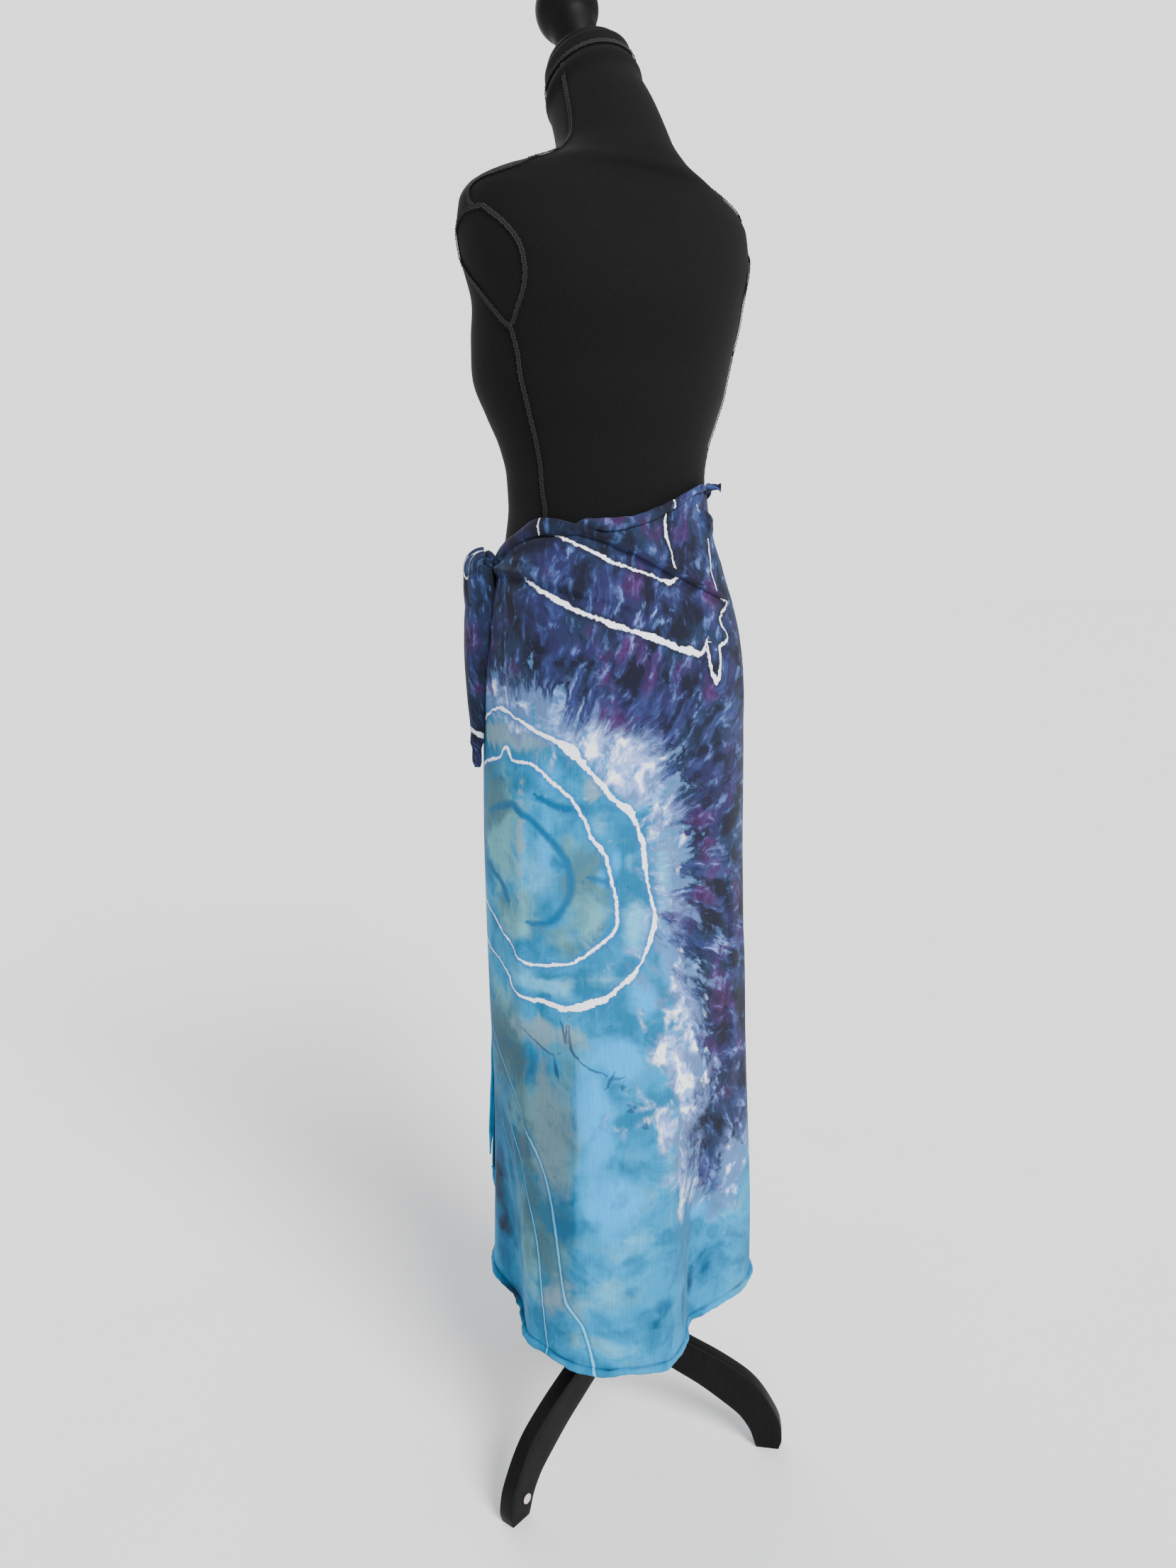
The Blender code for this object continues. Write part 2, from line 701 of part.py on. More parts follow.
def make_tail(tail, group):
    """A gathered corner hanging from the knot over the hip, rolled in like a leaf."""
    rings = []
    for share in spread(0.0, 1.0, TAIL_ROWS):
        swell = 0.86 + 0.14 * smooth_step(0.0, 0.25, share)
        narrow = 1 - 0.44 * smooth_step(0.25, 0.75, share) - 0.30 * smooth_step(0.78, 1.0, share)
        half = tail.width / 2 * swell * narrow
        turn = tail.turn_top + (tail.turn_low - tail.turn_top) * share
        height = tail.top - share * tail.length
        away, _ = wall_frame(turn, height)
        away.z = 0.0
        away.normalize()
        side = Vector((-away.y, away.x, 0.0))
        middle = wrap_point(turn, height, 0.62 * half + 0.0030)
        ring = []
        for angle in [radians(-120 + 30 * step) for step in range(9)]:
            ring.append(middle + side * (half * 0.80 * sin(angle)) + away * (half * cos(angle)))
        rings.append(ring)
    piece = new_object(tail.name, grid_mesh(tail.name, rings), group["jersey_dyed"], group, 80)
    solidify(piece, TAIL_LAYER, 1.0)


def make_hip_puff(group):
    """A puff of cloth between the waist roll and the over-fold, hollow, at the right hip."""
    rows, columns = 7, 8
    rings = []
    for column, turn in enumerate(spread(*PUFF_TURNS, columns)):
        ring = []
        for row, height in enumerate(spread(*PUFF_HEIGHTS, rows)):
            rise = sin(pi * column / (columns - 1)) * sin(pi * row / (rows - 1))
            ring.append(wrap_point(turn, height, PUFF_SEAT + PUFF_OUT * rise ** 0.7))
        rings.append(ring)
    piece = new_object("hip_puff", grid_mesh("hip_puff", rings), group["jersey_dyed"], group, 80)
    solidify(piece, CLOTH, 1.0)


def make_edge_tip(group):
    """A twisted end of the rolled edge, pointing away from the body and a little up."""
    height = edge_height(TOP_EDGE, TIP_TURN) - 0.0060
    base = wrap_point(TIP_TURN, height, TIP_THICK + SEAM_GAP * 3)
    away = Vector((cos(radians(TIP_TURN)), sin(radians(TIP_TURN)), 0.0))
    side = Vector((-away.y, away.x, 0.0))
    upright = Vector((0.0, 0.0, 1.0))
    path = []
    for share in spread(0.0, 1.0, 9):
        rise = 0.0050 * sin(share * pi) + 0.0010 * share
        path.append(base + away * (TIP_LENGTH * share) + side * (0.004 * share) + upright * rise)
    frames = [(side, upright)] * len(path)

    def outline(share):
        size = 1.0 - 0.45 * share + 0.25 * smooth_step(0.8, 1.0, share)
        return ellipse(TIP_THICK * size, TIP_THICK * 0.9 * size, 8)

    mesh = swept_mesh("edge_tip", path, frames, outline)
    new_object("edge_tip", mesh, group["jersey_dyed"], group, 80)


# Materials

def surface(name, colour, roughness):
    material = bpy.data.materials.new(name)
    material.use_nodes = True
    shader = material.node_tree.nodes["Principled BSDF"]
    shader.inputs["Base Color"].default_value = (*colour, 1.0)
    shader.inputs["Roughness"].default_value = roughness
    shader.inputs["Metallic"].default_value = 0.0
    material.diffuse_color = (*colour, 1.0)
    return material


def clear_scene():
    for item in list(bpy.data.objects):
        bpy.data.objects.remove(item, do_unlink=True)


def main():
    clear_scene()
    parts = bpy.data.collections.new("sarong_on_form")
    bpy.context.scene.collection.children.link(parts)
    axis = bpy.data.objects.new("stand_axis", None)
    axis.location = (STAND_X, STAND_Y, 0.0)
    parts.objects.link(axis)
    group = {
        "parts": parts,
        "axis": axis,
        "jersey_dyed": surface("jersey_dyed", (0.16, 0.30, 0.52), 0.85),
        "jersey_black": surface("jersey_black", (0.012, 0.012, 0.014), 0.80),
        "wood_black": surface("wood_black", (0.010, 0.010, 0.012), 0.40),
        "plug_pale": surface("plug_pale", (0.75, 0.70, 0.70), 0.45),
    }
    make_form(group)
    make_cap_and_finial(group)
    make_pole_and_hub(group)
    for number, turn in enumerate(LEG_TURNS, start=1):
        make_leg(number, turn, group)
    make_plug(group)
    for stretch in STRETCHES:
        make_stretch(stretch, group)
    make_hem_roll(group)
    make_side_roll(group)
    for roll in WAIST_ROLLS:
        make_waist_roll(roll, group)
    make_pleats(group)
    make_knot(group)
    for tail in TAILS:
        make_tail(tail, group)
    make_hip_puff(group)
    make_edge_tip(group)


main()
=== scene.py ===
# %% [markdown]
# # A dyed sarong on its dress form
# The object is one long piece of cotton jersey, wound once and a bit round the hips of a display
# form and tied at the wearer's left. This lesson rebuilds it in Blender piece by piece: the worn
# cloth, the form and its stand, and then the dye and the other finishes.
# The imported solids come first, because every piece has to sit where they are.

# %% Load the frame
from collections import namedtuple
from math import cos, pi, radians, sin

import bmesh
import bpy
import numpy as np
from mathutils import Matrix, Vector


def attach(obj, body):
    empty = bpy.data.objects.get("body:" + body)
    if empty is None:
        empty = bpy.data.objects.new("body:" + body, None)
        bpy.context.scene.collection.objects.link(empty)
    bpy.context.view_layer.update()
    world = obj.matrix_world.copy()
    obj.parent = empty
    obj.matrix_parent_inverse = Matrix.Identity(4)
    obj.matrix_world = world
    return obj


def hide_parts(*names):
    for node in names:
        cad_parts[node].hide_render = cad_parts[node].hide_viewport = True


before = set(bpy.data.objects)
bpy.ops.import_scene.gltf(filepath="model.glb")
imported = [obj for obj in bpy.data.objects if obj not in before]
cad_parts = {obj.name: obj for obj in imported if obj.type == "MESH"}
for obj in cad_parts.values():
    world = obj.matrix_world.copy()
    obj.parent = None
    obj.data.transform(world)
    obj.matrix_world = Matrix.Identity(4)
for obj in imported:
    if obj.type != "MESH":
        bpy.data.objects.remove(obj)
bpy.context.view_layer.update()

# %% [markdown]
# ## The camera
# The photograph looks at the wearer's left back from a little above the waist. Three numbers give
# that view, the camera's place, its turn and its lens, worked out once from the outline of the
# form and the feet. The camera comes first, so that each piece can be judged as it is made.

# %% Set the camera
lens = bpy.data.cameras.new("photo_camera")
lens.lens = 27.03
lens.sensor_width = 36.0
camera = bpy.data.objects.new("photo_camera", lens)
camera.location = (0.7522, 1.1316, 1.078)
camera.rotation_euler = (radians(80), 0.0, radians(147))
bpy.context.scene.collection.objects.link(camera)
bpy.context.scene.camera = camera
print("the camera stands", round(camera.location.length, 2), "m from the origin")

# %% [markdown]
# ## Smooth curves through short tables
# A body is easier to describe by a few level sections than by points. Between the sections a
# smooth curve is drawn, and its slopes are limited so that it never swings past a section.
# Numpy works on whole arrays of places at once, which keeps a fine mesh quick to make.

# %% Curves
def between(t, first, last, leaving, arriving):
    """A cubic from first to last as t runs from 0 to 1, with its slopes at both ends."""
    start = (1 + 2 * t) * (1 - t) ** 2 * first + t * (1 - t) ** 2 * leaving
    end = t * t * (3 - 2 * t) * last + t * t * (t - 1) * arriving
    return start + end


def curve(keys, values):
    """A smooth curve through a few points, to be read at an array of places."""
    keys = np.array(keys, float)
    values = np.array(values, float)
    rise = np.diff(values) / np.diff(keys)
    slope = np.zeros(len(keys))
    slope[0] = rise[0]
    slope[-1] = rise[-1]
    both = rise[:-1] * rise[1:]
    total = np.where(both > 0, rise[:-1] + rise[1:], 1.0)
    slope[1:-1] = np.where(both > 0, 2 * both / total, 0.0)

    def at(place):
        place = np.clip(place, keys[0], keys[-1])
        i = np.clip(np.searchsorted(keys, place, side="right") - 1, 0, len(keys) - 2)
        span = keys[i + 1] - keys[i]
        t = (place - keys[i]) / span
        return between(t, values[i], values[i + 1], span * slope[i], span * slope[i + 1])

    return at


def table_curve(rows, key, column):
    """A smooth curve through one column of a table, over another column."""
    return curve([getattr(row, key) for row in rows], [getattr(row, column) for row in rows])


def smooth_step(low, high, value):
    """0 at low, 1 at high, and smooth between."""
    share = np.clip((value - low) / (high - low), 0.0, 1.0)
    return share * share * (3 - 2 * share)


def bump(value, middle, width):
    """1 at the middle, and falling away evenly on both sides."""
    return np.exp(-(((value - middle) / width) ** 2))


print("halfway up a step is", float(smooth_step(0, 1, 0.5)))
# %% [markdown]
# ## The body and the wrap
# Places on the cloth are named by two numbers, as a tailor would: how far round the body, in
# degrees from the wearer's left over the back, and how high. The form's sections carry the cloth
# from the waist to the hips. Below them the cloth hangs free, and a row for each deep fold pushes
# it out or in towards the hem. These are the same numbers as the solids have.

# %% Sections of the form and of the hanging cloth
# lengths are in metres and turns in degrees, here and below
STAND = np.array([-0.0140, 0.0195, 0.0])
CLOTH = 0.0016
SEAT_GAP = 0.0012
WRAP_START = -78
WRAP_END = 315
LOOSE_HEIGHT = 0.888
HIP_HEIGHT = 0.948
HEM_HEIGHT = 0.207
ROLL_TALL = 0.017
SQUARENESS = 2.16
OVERLAP_STEP = 0.0052
CORNER_LEAD = 2
UPRIGHT = np.array((0.0, 0.0, 1.0))

Section = namedtuple("Section", "height half_width half_depth centre_y")
FORM_SECTIONS = (
    Section(0.866, 0.1280, 0.0980, -0.0095),
    Section(0.872, 0.1420, 0.1120, -0.0095),
    Section(0.888, 0.1510, 0.1215, -0.0095),
    Section(0.928, 0.1530, 0.1235, -0.0090),
    Section(0.968, 0.1515, 0.1215, -0.0090),
    Section(1.008, 0.1480, 0.1170, -0.0105),
    Section(1.048, 0.1420, 0.1100, -0.0150),
    Section(1.088, 0.1315, 0.1010, -0.0200),
    Section(1.123, 0.1210, 0.0945, -0.0240),
    Section(1.158, 0.1160, 0.0920, -0.0270),
    Section(1.188, 0.1165, 0.0925, -0.0295),
    Section(1.218, 0.1225, 0.0950, -0.0330),
    Section(1.253, 0.1365, 0.1030, -0.0370),
    Section(1.288, 0.1500, 0.1090, -0.0400),
    Section(1.328, 0.1560, 0.1080, -0.0330),
    Section(1.368, 0.1610, 0.1020, -0.0235),
    Section(1.408, 0.1715, 0.0950, -0.0250),
    Section(1.438, 0.1755, 0.0885, -0.0265),
    Section(1.460, 0.1735, 0.0830, -0.0260),
    Section(1.476, 0.1635, 0.0800, -0.0275),
    Section(1.488, 0.1420, 0.0750, -0.0240),
    Section(1.499, 0.1090, 0.0680, -0.0140),
    Section(1.512, 0.0800, 0.0590, -0.0080),
    Section(1.530, 0.0650, 0.0580, -0.0160),
    Section(1.558, 0.0570, 0.0570, -0.0330),
    Section(1.588, 0.0520, 0.0540, -0.0520),
    Section(1.625, 0.0490, 0.0500, -0.0680),
)
HANG_SECTIONS = (
    Section(0.200, 0.1560, 0.1560, 0.0040),
    Section(0.300, 0.1560, 0.1520, 0.0050),
    Section(0.400, 0.1550, 0.1470, 0.0040),
    Section(0.500, 0.1540, 0.1420, 0.0020),
    Section(0.600, 0.1540, 0.1390, -0.0030),
    Section(0.700, 0.1560, 0.1330, -0.0070),
    Section(0.800, 0.1570, 0.1290, -0.0095),
    Section(0.900, 0.1560, 0.1270, -0.0095),
    Section(1.000, 0.1530, 0.1220, -0.0095),
)
print(len(FORM_SECTIONS), "sections carry the form, and", len(HANG_SECTIONS), "the hanging cloth")

# %% Deep folds, and the cloth's top and bottom edges
Fold = namedtuple("Fold", "turn before after out fades_at full_at")
FOLDS = (
    Fold(108, 23, 29, -0.0500, 0.66, 0.24),
    Fold(74, 16, 8, 0.0060, 0.70, 0.30),
    Fold(45, 22, 18, 0.0095, 0.70, 0.24),
    Fold(-12, 20, 22, -0.0270, 0.62, 0.22),
    Fold(-56, 18, 14, 0.0040, 0.60, 0.24),
    Fold(156, 14, 16, 0.0080, 0.62, 0.24),
    Fold(196, 15, 14, -0.0250, 0.70, 0.24),
    Fold(226, 13, 13, 0.0090, 0.66, 0.24),
    Fold(252, 13, 13, -0.0210, 0.80, 0.24),
    Fold(283, 14, 12, 0.0080, 0.66, 0.24),
    Fold(14, 5, 6, 0.0030, 1.02, 0.72),
)

# each edge is a row of (turn, height)
TOP_EDGE = (
    (-78, 1.113), (-45, 1.096), (-20, 1.100), (0, 1.118), (22, 1.138),
    (40, 1.139), (54, 1.138), (75, 1.144), (101, 1.160), (130, 1.179), (165, 1.182),
    (200, 1.173), (240, 1.150), (282, 1.123), (315, 1.100), (345, 1.100),
)
HEM_RISE = (
    (-78, 0.026), (-28, 0.018), (-8, 0.008), (24, 0.005), (50, 0.000),
    (108, 0.000), (134, 0.010), (154, 0.013), (190, 0.002), (225, 0.000),
    (262, 0.012), (290, 0.052), (306, 0.106), (315, 0.148),
)
print(len(FOLDS), "deep folds run down to the hem")

# %% The cloth's outer side
COLUMNS = ("half_width", "half_depth", "centre_y")
FORM = {name: table_curve(FORM_SECTIONS, "height", name) for name in COLUMNS}
HANG = {name: table_curve(HANG_SECTIONS, "height", name) for name in COLUMNS}
top_edge = curve(*zip(*TOP_EDGE))
hem_rise = curve(*zip(*HEM_RISE))


def section_radius(body, turn, height, squareness):
    """Radius of a level section towards a turn, and the section's middle."""
    angle = np.radians(turn)
    across = np.abs(np.cos(angle) / body["half_width"](height)) ** squareness
    along = np.abs(np.sin(angle) / body["half_depth"](height)) ** squareness
    return (across + along) ** (-1 / squareness), body["centre_y"](height)


def cloth_radius(turn, height):
    """Radius of the cloth's outer side: on the form above the hips, and free below them."""
    on_form, form_y = section_radius(FORM, turn, np.maximum(height, LOOSE_HEIGHT), SQUARENESS)
    on_form = on_form + CLOTH + SEAT_GAP
    hanging, hang_y = section_radius(HANG, turn, height, SQUARENESS)
    free = 1 - smooth_step(LOOSE_HEIGHT, HIP_HEIGHT, height)
    radius = on_form + (hanging - on_form) * free
    for fold in FOLDS:
        away = (turn - fold.turn + 180) % 360 - 180
        width = np.where(away < 0, fold.before, fold.after)
        depth = 1 - smooth_step(fold.full_at, fold.fades_at, height)
        near = np.minimum(1.0, np.abs(away) / (2 * width))
        radius = radius + fold.out * depth * np.cos(near * pi / 2) ** 4
    return radius, form_y + (hang_y - form_y) * free


def wrap_points(turn, height, out=0.0):
    """Points of the cloth's outer side, moved out level by a distance."""
    radius, centre_y = cloth_radius(turn, height)
    radius = radius + OVERLAP_STEP * smooth_step(205, 270, turn) + out
    angle = np.radians(turn)
    spot = [radius * np.cos(angle), centre_y + radius * np.sin(angle), height + 0 * radius]
    return np.stack(spot, axis=-1) + STAND


def unit(vectors):
    """The same directions, each one metre long."""
    return vectors / np.linalg.norm(vectors, axis=-1, keepdims=True)


def wall_frames(turn, height):
    """At places on the cloth: the way out from it, and the way up along it."""
    up = unit(wrap_points(turn, height + 0.004) - wrap_points(turn, height - 0.004))
    along = unit(wrap_points(turn + 1, height) - wrap_points(turn - 1, height))
    return unit(np.cross(along, up)), up


def corner_lead(turn, height):
    """How much further round the free edge reaches at its lifted corner."""
    near_corner = 1 - smooth_step(0.355, 0.508, height)
    return CORNER_LEAD * near_corner * smooth_step(285, WRAP_END, turn)


girth = np.linalg.norm(np.diff(wrap_points(np.arange(0, 361, 2.0), 0.95), axis=0), axis=1).sum()
print("round the hips the cloth measures", round(float(girth), 3), "m")

# %% [markdown]
# ## Making meshes from grids
# Everything that is wound, rolled or draped here is a grid: rows of points one way, columns the
# other. One helper joins the grid up, and a second stores a number at every point of a piece, so
# that the dye can know where on the cloth it is.

# %% Grid helpers
def grid_faces(rows, columns, around=False, first=0):
    """Each face's four points; around joins each row's end to its start."""
    index = first + np.arange(rows * columns).reshape(rows, columns)
    if around:
        index = np.concatenate([index, index[:, :1]], axis=1)
    corners = [index[:-1, :-1], index[:-1, 1:], index[1:, 1:], index[1:, :-1]]
    return np.stack(corners, axis=-1).reshape(-1, 4).tolist()


def grid_mesh(name, points, closed=False):
    """A mesh over rows of points; a closed one goes round and has a cap at both ends."""
    rows, columns = points.shape[:2]
    faces = grid_faces(rows, columns, closed)
    mesh = bpy.data.meshes.new(name)
    if closed:
        last = rows * columns
        faces.append(list(range(columns))[::-1])
        faces.append(list(range(last - columns, last)))
    mesh.from_pydata(points.reshape(-1, 3).tolist(), [], faces)
    if closed:
        form = bmesh.new()
        form.from_mesh(mesh)
        bmesh.ops.recalc_face_normals(form, faces=form.faces)
        form.to_mesh(mesh)
        form.free()
    mesh.shade_smooth()
    return mesh


def new_piece(name, mesh, slot, *stands_for):
    """An object that rides with the part and takes the place of some of its solids."""
    piece = bpy.data.objects.new(name, mesh)
    bpy.context.scene.collection.objects.link(piece)
    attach(piece, "root")
    if stands_for:
        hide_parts(*stands_for)
    return piece


def thicken(piece, thickness, offset):
    """A wall for an open sheet: outside it at an offset of 1, and inside it at -1."""
    wall = piece.modifiers.new("wall", "SOLIDIFY")
    wall.thickness = thickness
    wall.offset = offset


def ease(piece, width, segments, least_angle):
    """Rounded edges wherever two faces meet at more than an angle."""
    edges = piece.modifiers.new("eased edges", "BEVEL")
    edges.width = width
    edges.segments = segments
    edges.angle_limit = radians(least_angle)


WORN = {}


def new_worn(name, mesh, turns, heights, *stands_for):
    """A dyed piece, and the place on the cloth that each of its points comes from."""
    WORN[name] = (turns.ravel(), heights.ravel())
    return new_piece(name, mesh, "jersey_dyed", *stands_for)


def store(piece, name, values):
    """One number, or one place, for each point of a piece."""
    values = np.asarray(values, dtype=np.float32)
    kind = "FLOAT" if values.ndim == 1 else "FLOAT_VECTOR"
    field = piece.data.attributes.new(name, kind, "POINT")
    field.data.foreach_set("value" if values.ndim == 1 else "vector", values.ravel())


print("a grid of 3 by 4 points has", len(grid_faces(3, 4)), "faces")

# %% [markdown]
# ## Creases placed one by one
# Jersey that is pulled from a knot falls into soft ridges, and each is different. A crease is a
# short path over the cloth with a height, a width and a lean, and it fades out at both ends.
# Noise would give an even crumple that real cloth never has, so each row here is a crease that
# the photograph shows, or one like it where it shows none.

# %% Distance to a path on the cloth
METRES_A_DEGREE = 0.00257


def smooth_path(points, steps=10):
    """A rounder path through a few (turn, height) places, in metres on the flat cloth."""
    spots = np.array(points, float) * (METRES_A_DEGREE, 1.0)
    before = np.concatenate([2 * spots[:1] - spots[1:2], spots[:-1]])
    after = np.concatenate([spots[1:], 2 * spots[-1:] - spots[-2:-1]])
    slope = (after - before) / 2
    t = np.linspace(0, 1, steps, endpoint=False)[:, None]
    runs = []
    for k in range(len(spots) - 1):
        runs.append(between(t, spots[k], spots[k + 1], slope[k], slope[k + 1]))
    return np.concatenate(runs + [spots[-1:]])


def beside_path(path, turn, height):
    """Signed distance to a path, in metres, and how far along it the nearest place is."""
    x = (turn * METRES_A_DEGREE).ravel()
    y = height.ravel()
    lengths = np.linalg.norm(np.diff(path, axis=0), axis=1)
    reached = np.concatenate([[0.0], np.cumsum(lengths)])
    best = np.full(x.shape, 9.0)
    signed = np.full(x.shape, 9.0)
    along = np.zeros(x.shape)
    for k, length in enumerate(lengths):
        step = (path[k + 1] - path[k]) / length
        dx = x - path[k, 0]
        dy = y - path[k, 1]
        run = np.clip(dx * step[0] + dy * step[1], 0.0, length)
        away = np.hypot(dx - run * step[0], dy - run * step[1])
        nearer = away < best
        side = np.where(step[0] * dy - step[1] * dx < 0, -1.0, 1.0)
        best = np.where(nearer, away, best)
        signed = np.where(nearer, away * side, signed)
        along = np.where(nearer, (reached[k] + run) / reached[-1], along)
    return signed.reshape(turn.shape), along.reshape(turn.shape)


print("one degree round the cloth is", round(METRES_A_DEGREE * 1000, 2), "mm")

# %% The creases
# each is how far it stands out, its half width, its lean to one side, and its (turn, height) path
CREASES = (
    # fanned out from the knot, over the pleat
    (0.0022, 0.0050, 0.3, ((-14, 1.092), (0, 1.103), (16, 1.111), (34, 1.116))),
    (0.0018, 0.0045, -0.2, ((-13, 1.086), (4, 1.092), (22, 1.092), (44, 1.084))),
    (-0.0012, 0.0040, 0.0, ((-12, 1.090), (6, 1.099), (24, 1.102), (40, 1.100))),
    (0.0012, 0.0060, 0.4, ((12, 1.086), (32, 1.078), (52, 1.080), (66, 1.086))),
    # from under the knot, down over the left hip
    (0.0030, 0.0065, 0.5, ((-12, 1.068), (-4, 1.040), (6, 1.006), (18, 0.968))),
    (0.0022, 0.0080, 0.3, ((-16, 1.052), (-13, 1.010), (-9, 0.960), (-8, 0.905))),
    (0.0026, 0.0042, 0.6, ((-14, 1.046), (-6, 1.020), (2, 0.992), (7, 0.972))),
    (0.0020, 0.0075, -0.3, ((-8, 1.072), (10, 1.056), (26, 1.030), (40, 0.996))),
    (-0.0010, 0.0075, 0.0, ((-10, 1.066), (4, 1.040), (16, 1.008), (26, 0.968))),
    # below the crease at the right hip
    (0.0024, 0.0060, -0.3, ((56, 1.094), (84, 1.070), (110, 1.048), (132, 1.034))),
    (0.0016, 0.0070, 0.2, ((88, 1.062), (108, 1.040), (124, 1.016), (134, 0.984))),
    (0.0014, 0.0060, 0.2, ((104, 1.054), (120, 1.036), (138, 1.024), (150, 1.020))),
    (0.0018, 0.0080, 0.2, ((122, 1.046), (134, 1.012), (140, 0.968), (142, 0.910))),
    (0.0012, 0.0090, -0.2, ((108, 1.020), (114, 0.980), (118, 0.930), (117, 0.870))),
    # on the panel over it, and round the puff
    (0.0018, 0.0050, 0.3, ((44, 1.124), (66, 1.116), (90, 1.106), (112, 1.098))),
    (0.0013, 0.0060, -0.2, ((58, 1.132), (82, 1.128), (104, 1.120), (118, 1.104))),
    (0.0016, 0.0050, 0.0, ((100, 1.142), (112, 1.134), (122, 1.128), (132, 1.116))),
    (0.0020, 0.0045, 0.3, ((112, 1.158), (120, 1.150), (126, 1.138), (128, 1.118))),
    (0.0018, 0.0050, -0.3, ((134, 1.160), (137, 1.136), (136, 1.104), (132, 1.074))),
    (0.0014, 0.0060, 0.2, ((142, 1.168), (146, 1.140), (147, 1.104), (144, 1.066))),
    # the back and the left of the hanging cloth
    (0.0028, 0.0085, 0.4, ((17, 0.905), (17, 0.840), (15, 0.720), (12, 0.570))),
    (0.0020, 0.0110, -0.2, ((6, 0.830), (4, 0.740), (4, 0.640), (7, 0.520))),
    (0.0022, 0.0110, 0.2, ((34, 0.560), (35, 0.480), (38, 0.380), (38, 0.300))),
    (0.0030, 0.0120, 0.4, ((44, 0.640), (44, 0.520), (42, 0.400), (44, 0.270))),
    (0.0016, 0.0100, -0.3, ((60, 0.740), (63, 0.620), (62, 0.500), (58, 0.390))),
    (0.0026, 0.0100, 0.5, ((82, 0.620), (82, 0.500), (81, 0.380), (82, 0.240))),
    (-0.0020, 0.0090, 0.0, ((74, 0.420), (73, 0.350), (75, 0.280), (74, 0.225))),
    (0.0020, 0.0060, 0.3, ((60, 0.300), (68, 0.282), (76, 0.278), (82, 0.290))),
    (0.0016, 0.0050, -0.3, ((56, 0.262), (64, 0.250), (72, 0.252), (80, 0.262))),
    (0.0014, 0.0045, 0.2, ((66, 0.240), (71, 0.262), (78, 0.276), (84, 0.300))),
    (0.0018, 0.0055, 0.2, ((28, 0.252), (32, 0.268), (34, 0.290), (32, 0.320))),
    (0.0014, 0.0050, -0.2, ((44, 0.228), (48, 0.246), (50, 0.272), (49, 0.300))),
    (0.0024, 0.0080, 0.3, ((-10, 0.520), (0, 0.440), (8, 0.340), (14, 0.244))),
    (0.0020, 0.0075, -0.3, ((-2, 0.600), (10, 0.500), (20, 0.400), (26, 0.280))),
    (0.0020, 0.0080, 0.3, ((-16, 0.440), (-12, 0.360), (-6, 0.290), (0, 0.235))),
    (0.0016, 0.0060, 0.2, ((-24, 0.300), (-14, 0.276), (-6, 0.262), (2, 0.262))),
    # the right back
    (0.0022, 0.0110, 0.3, ((104, 0.900), (103, 0.790), (100, 0.660), (99, 0.540))),
    (0.0018, 0.0120, -0.3, ((122, 0.860), (124, 0.740), (124, 0.600), (126, 0.460))),
    (0.0022, 0.0110, 0.3, ((136, 0.800), (138, 0.660), (140, 0.500), (141, 0.330))),
    (0.0016, 0.0070, 0.0, ((112, 0.420), (120, 0.390), (128, 0.380), (136, 0.390))),
    (0.0016, 0.0060, 0.2, ((124, 0.280), (130, 0.300), (134, 0.330), (134, 0.370))),
    # the right side and the front, like the rest
    (0.0020, 0.0090, 0.3, ((156, 1.120), (162, 1.060), (164, 0.990), (161, 0.900))),
    (0.0016, 0.0080, -0.3, ((172, 1.150), (180, 1.100), (184, 1.030), (184, 0.950))),
    (0.0022, 0.0100, 0.2, ((168, 0.860), (172, 0.720), (170, 0.560), (173, 0.380))),
    (0.0020, 0.0110, -0.3, ((184, 0.760), (182, 0.600), (184, 0.440), (182, 0.280))),
    (0.0022, 0.0075, 0.3, ((204, 1.130), (222, 1.108), (244, 1.090), (268, 1.080))),
    (0.0020, 0.0085, -0.2, ((214, 1.096), (236, 1.070), (262, 1.056), (290, 1.058))),
    (0.0020, 0.0090, 0.3, ((210, 1.040), (232, 1.010), (258, 0.996), (286, 1.010))),
    (0.0024, 0.0090, 0.3, ((312, 1.040), (298, 0.980), (280, 0.900), (268, 0.800))),
    (0.0022, 0.0085, -0.3, ((306, 1.060), (288, 1.010), (264, 0.950), (244, 0.880))),
    (0.0024, 0.0100, 0.4, ((311, 0.980), (303, 0.880), (296, 0.740), (292, 0.560))),
    (0.0020, 0.0110, -0.3, ((270, 0.780), (266, 0.640), (268, 0.480), (265, 0.320))),
    (0.0024, 0.0110, 0.3, ((214, 0.900), (211, 0.760), (212, 0.600), (209, 0.400))),
    (0.0020, 0.0110, 0.3, ((238, 0.720), (240, 0.600), (238, 0.440), (240, 0.300))),
    (0.0018, 0.0060, 0.2, ((188, 0.262), (196, 0.280), (204, 0.284), (212, 0.270))),
    (0.0016, 0.0060, -0.2, ((232, 0.250), (240, 0.268), (250, 0.272), (258, 0.262))),
    (0.0018, 0.0060, 0.2, ((276, 0.300), (284, 0.330), (290, 0.380), (293, 0.440))),
)


def crease_relief(turn, height):
    """How far the creases lift the cloth at each place."""
    relief = np.zeros(turn.shape)
    for out, wide, lean, path in CREASES:
        signed, along = beside_path(smooth_path(path), turn, height)
        wide = wide * np.where(signed < 0, 1 + lean, 1 - lean)
        end = np.minimum(along, 1 - along)
        fade = smooth_step(0.0, 0.30, end) * (0.85 + 0.15 * np.cos(along * 17))
        relief += out * fade * bump(signed, 0.0, wide)
    return relief


print(len(CREASES), "creases are placed by hand")

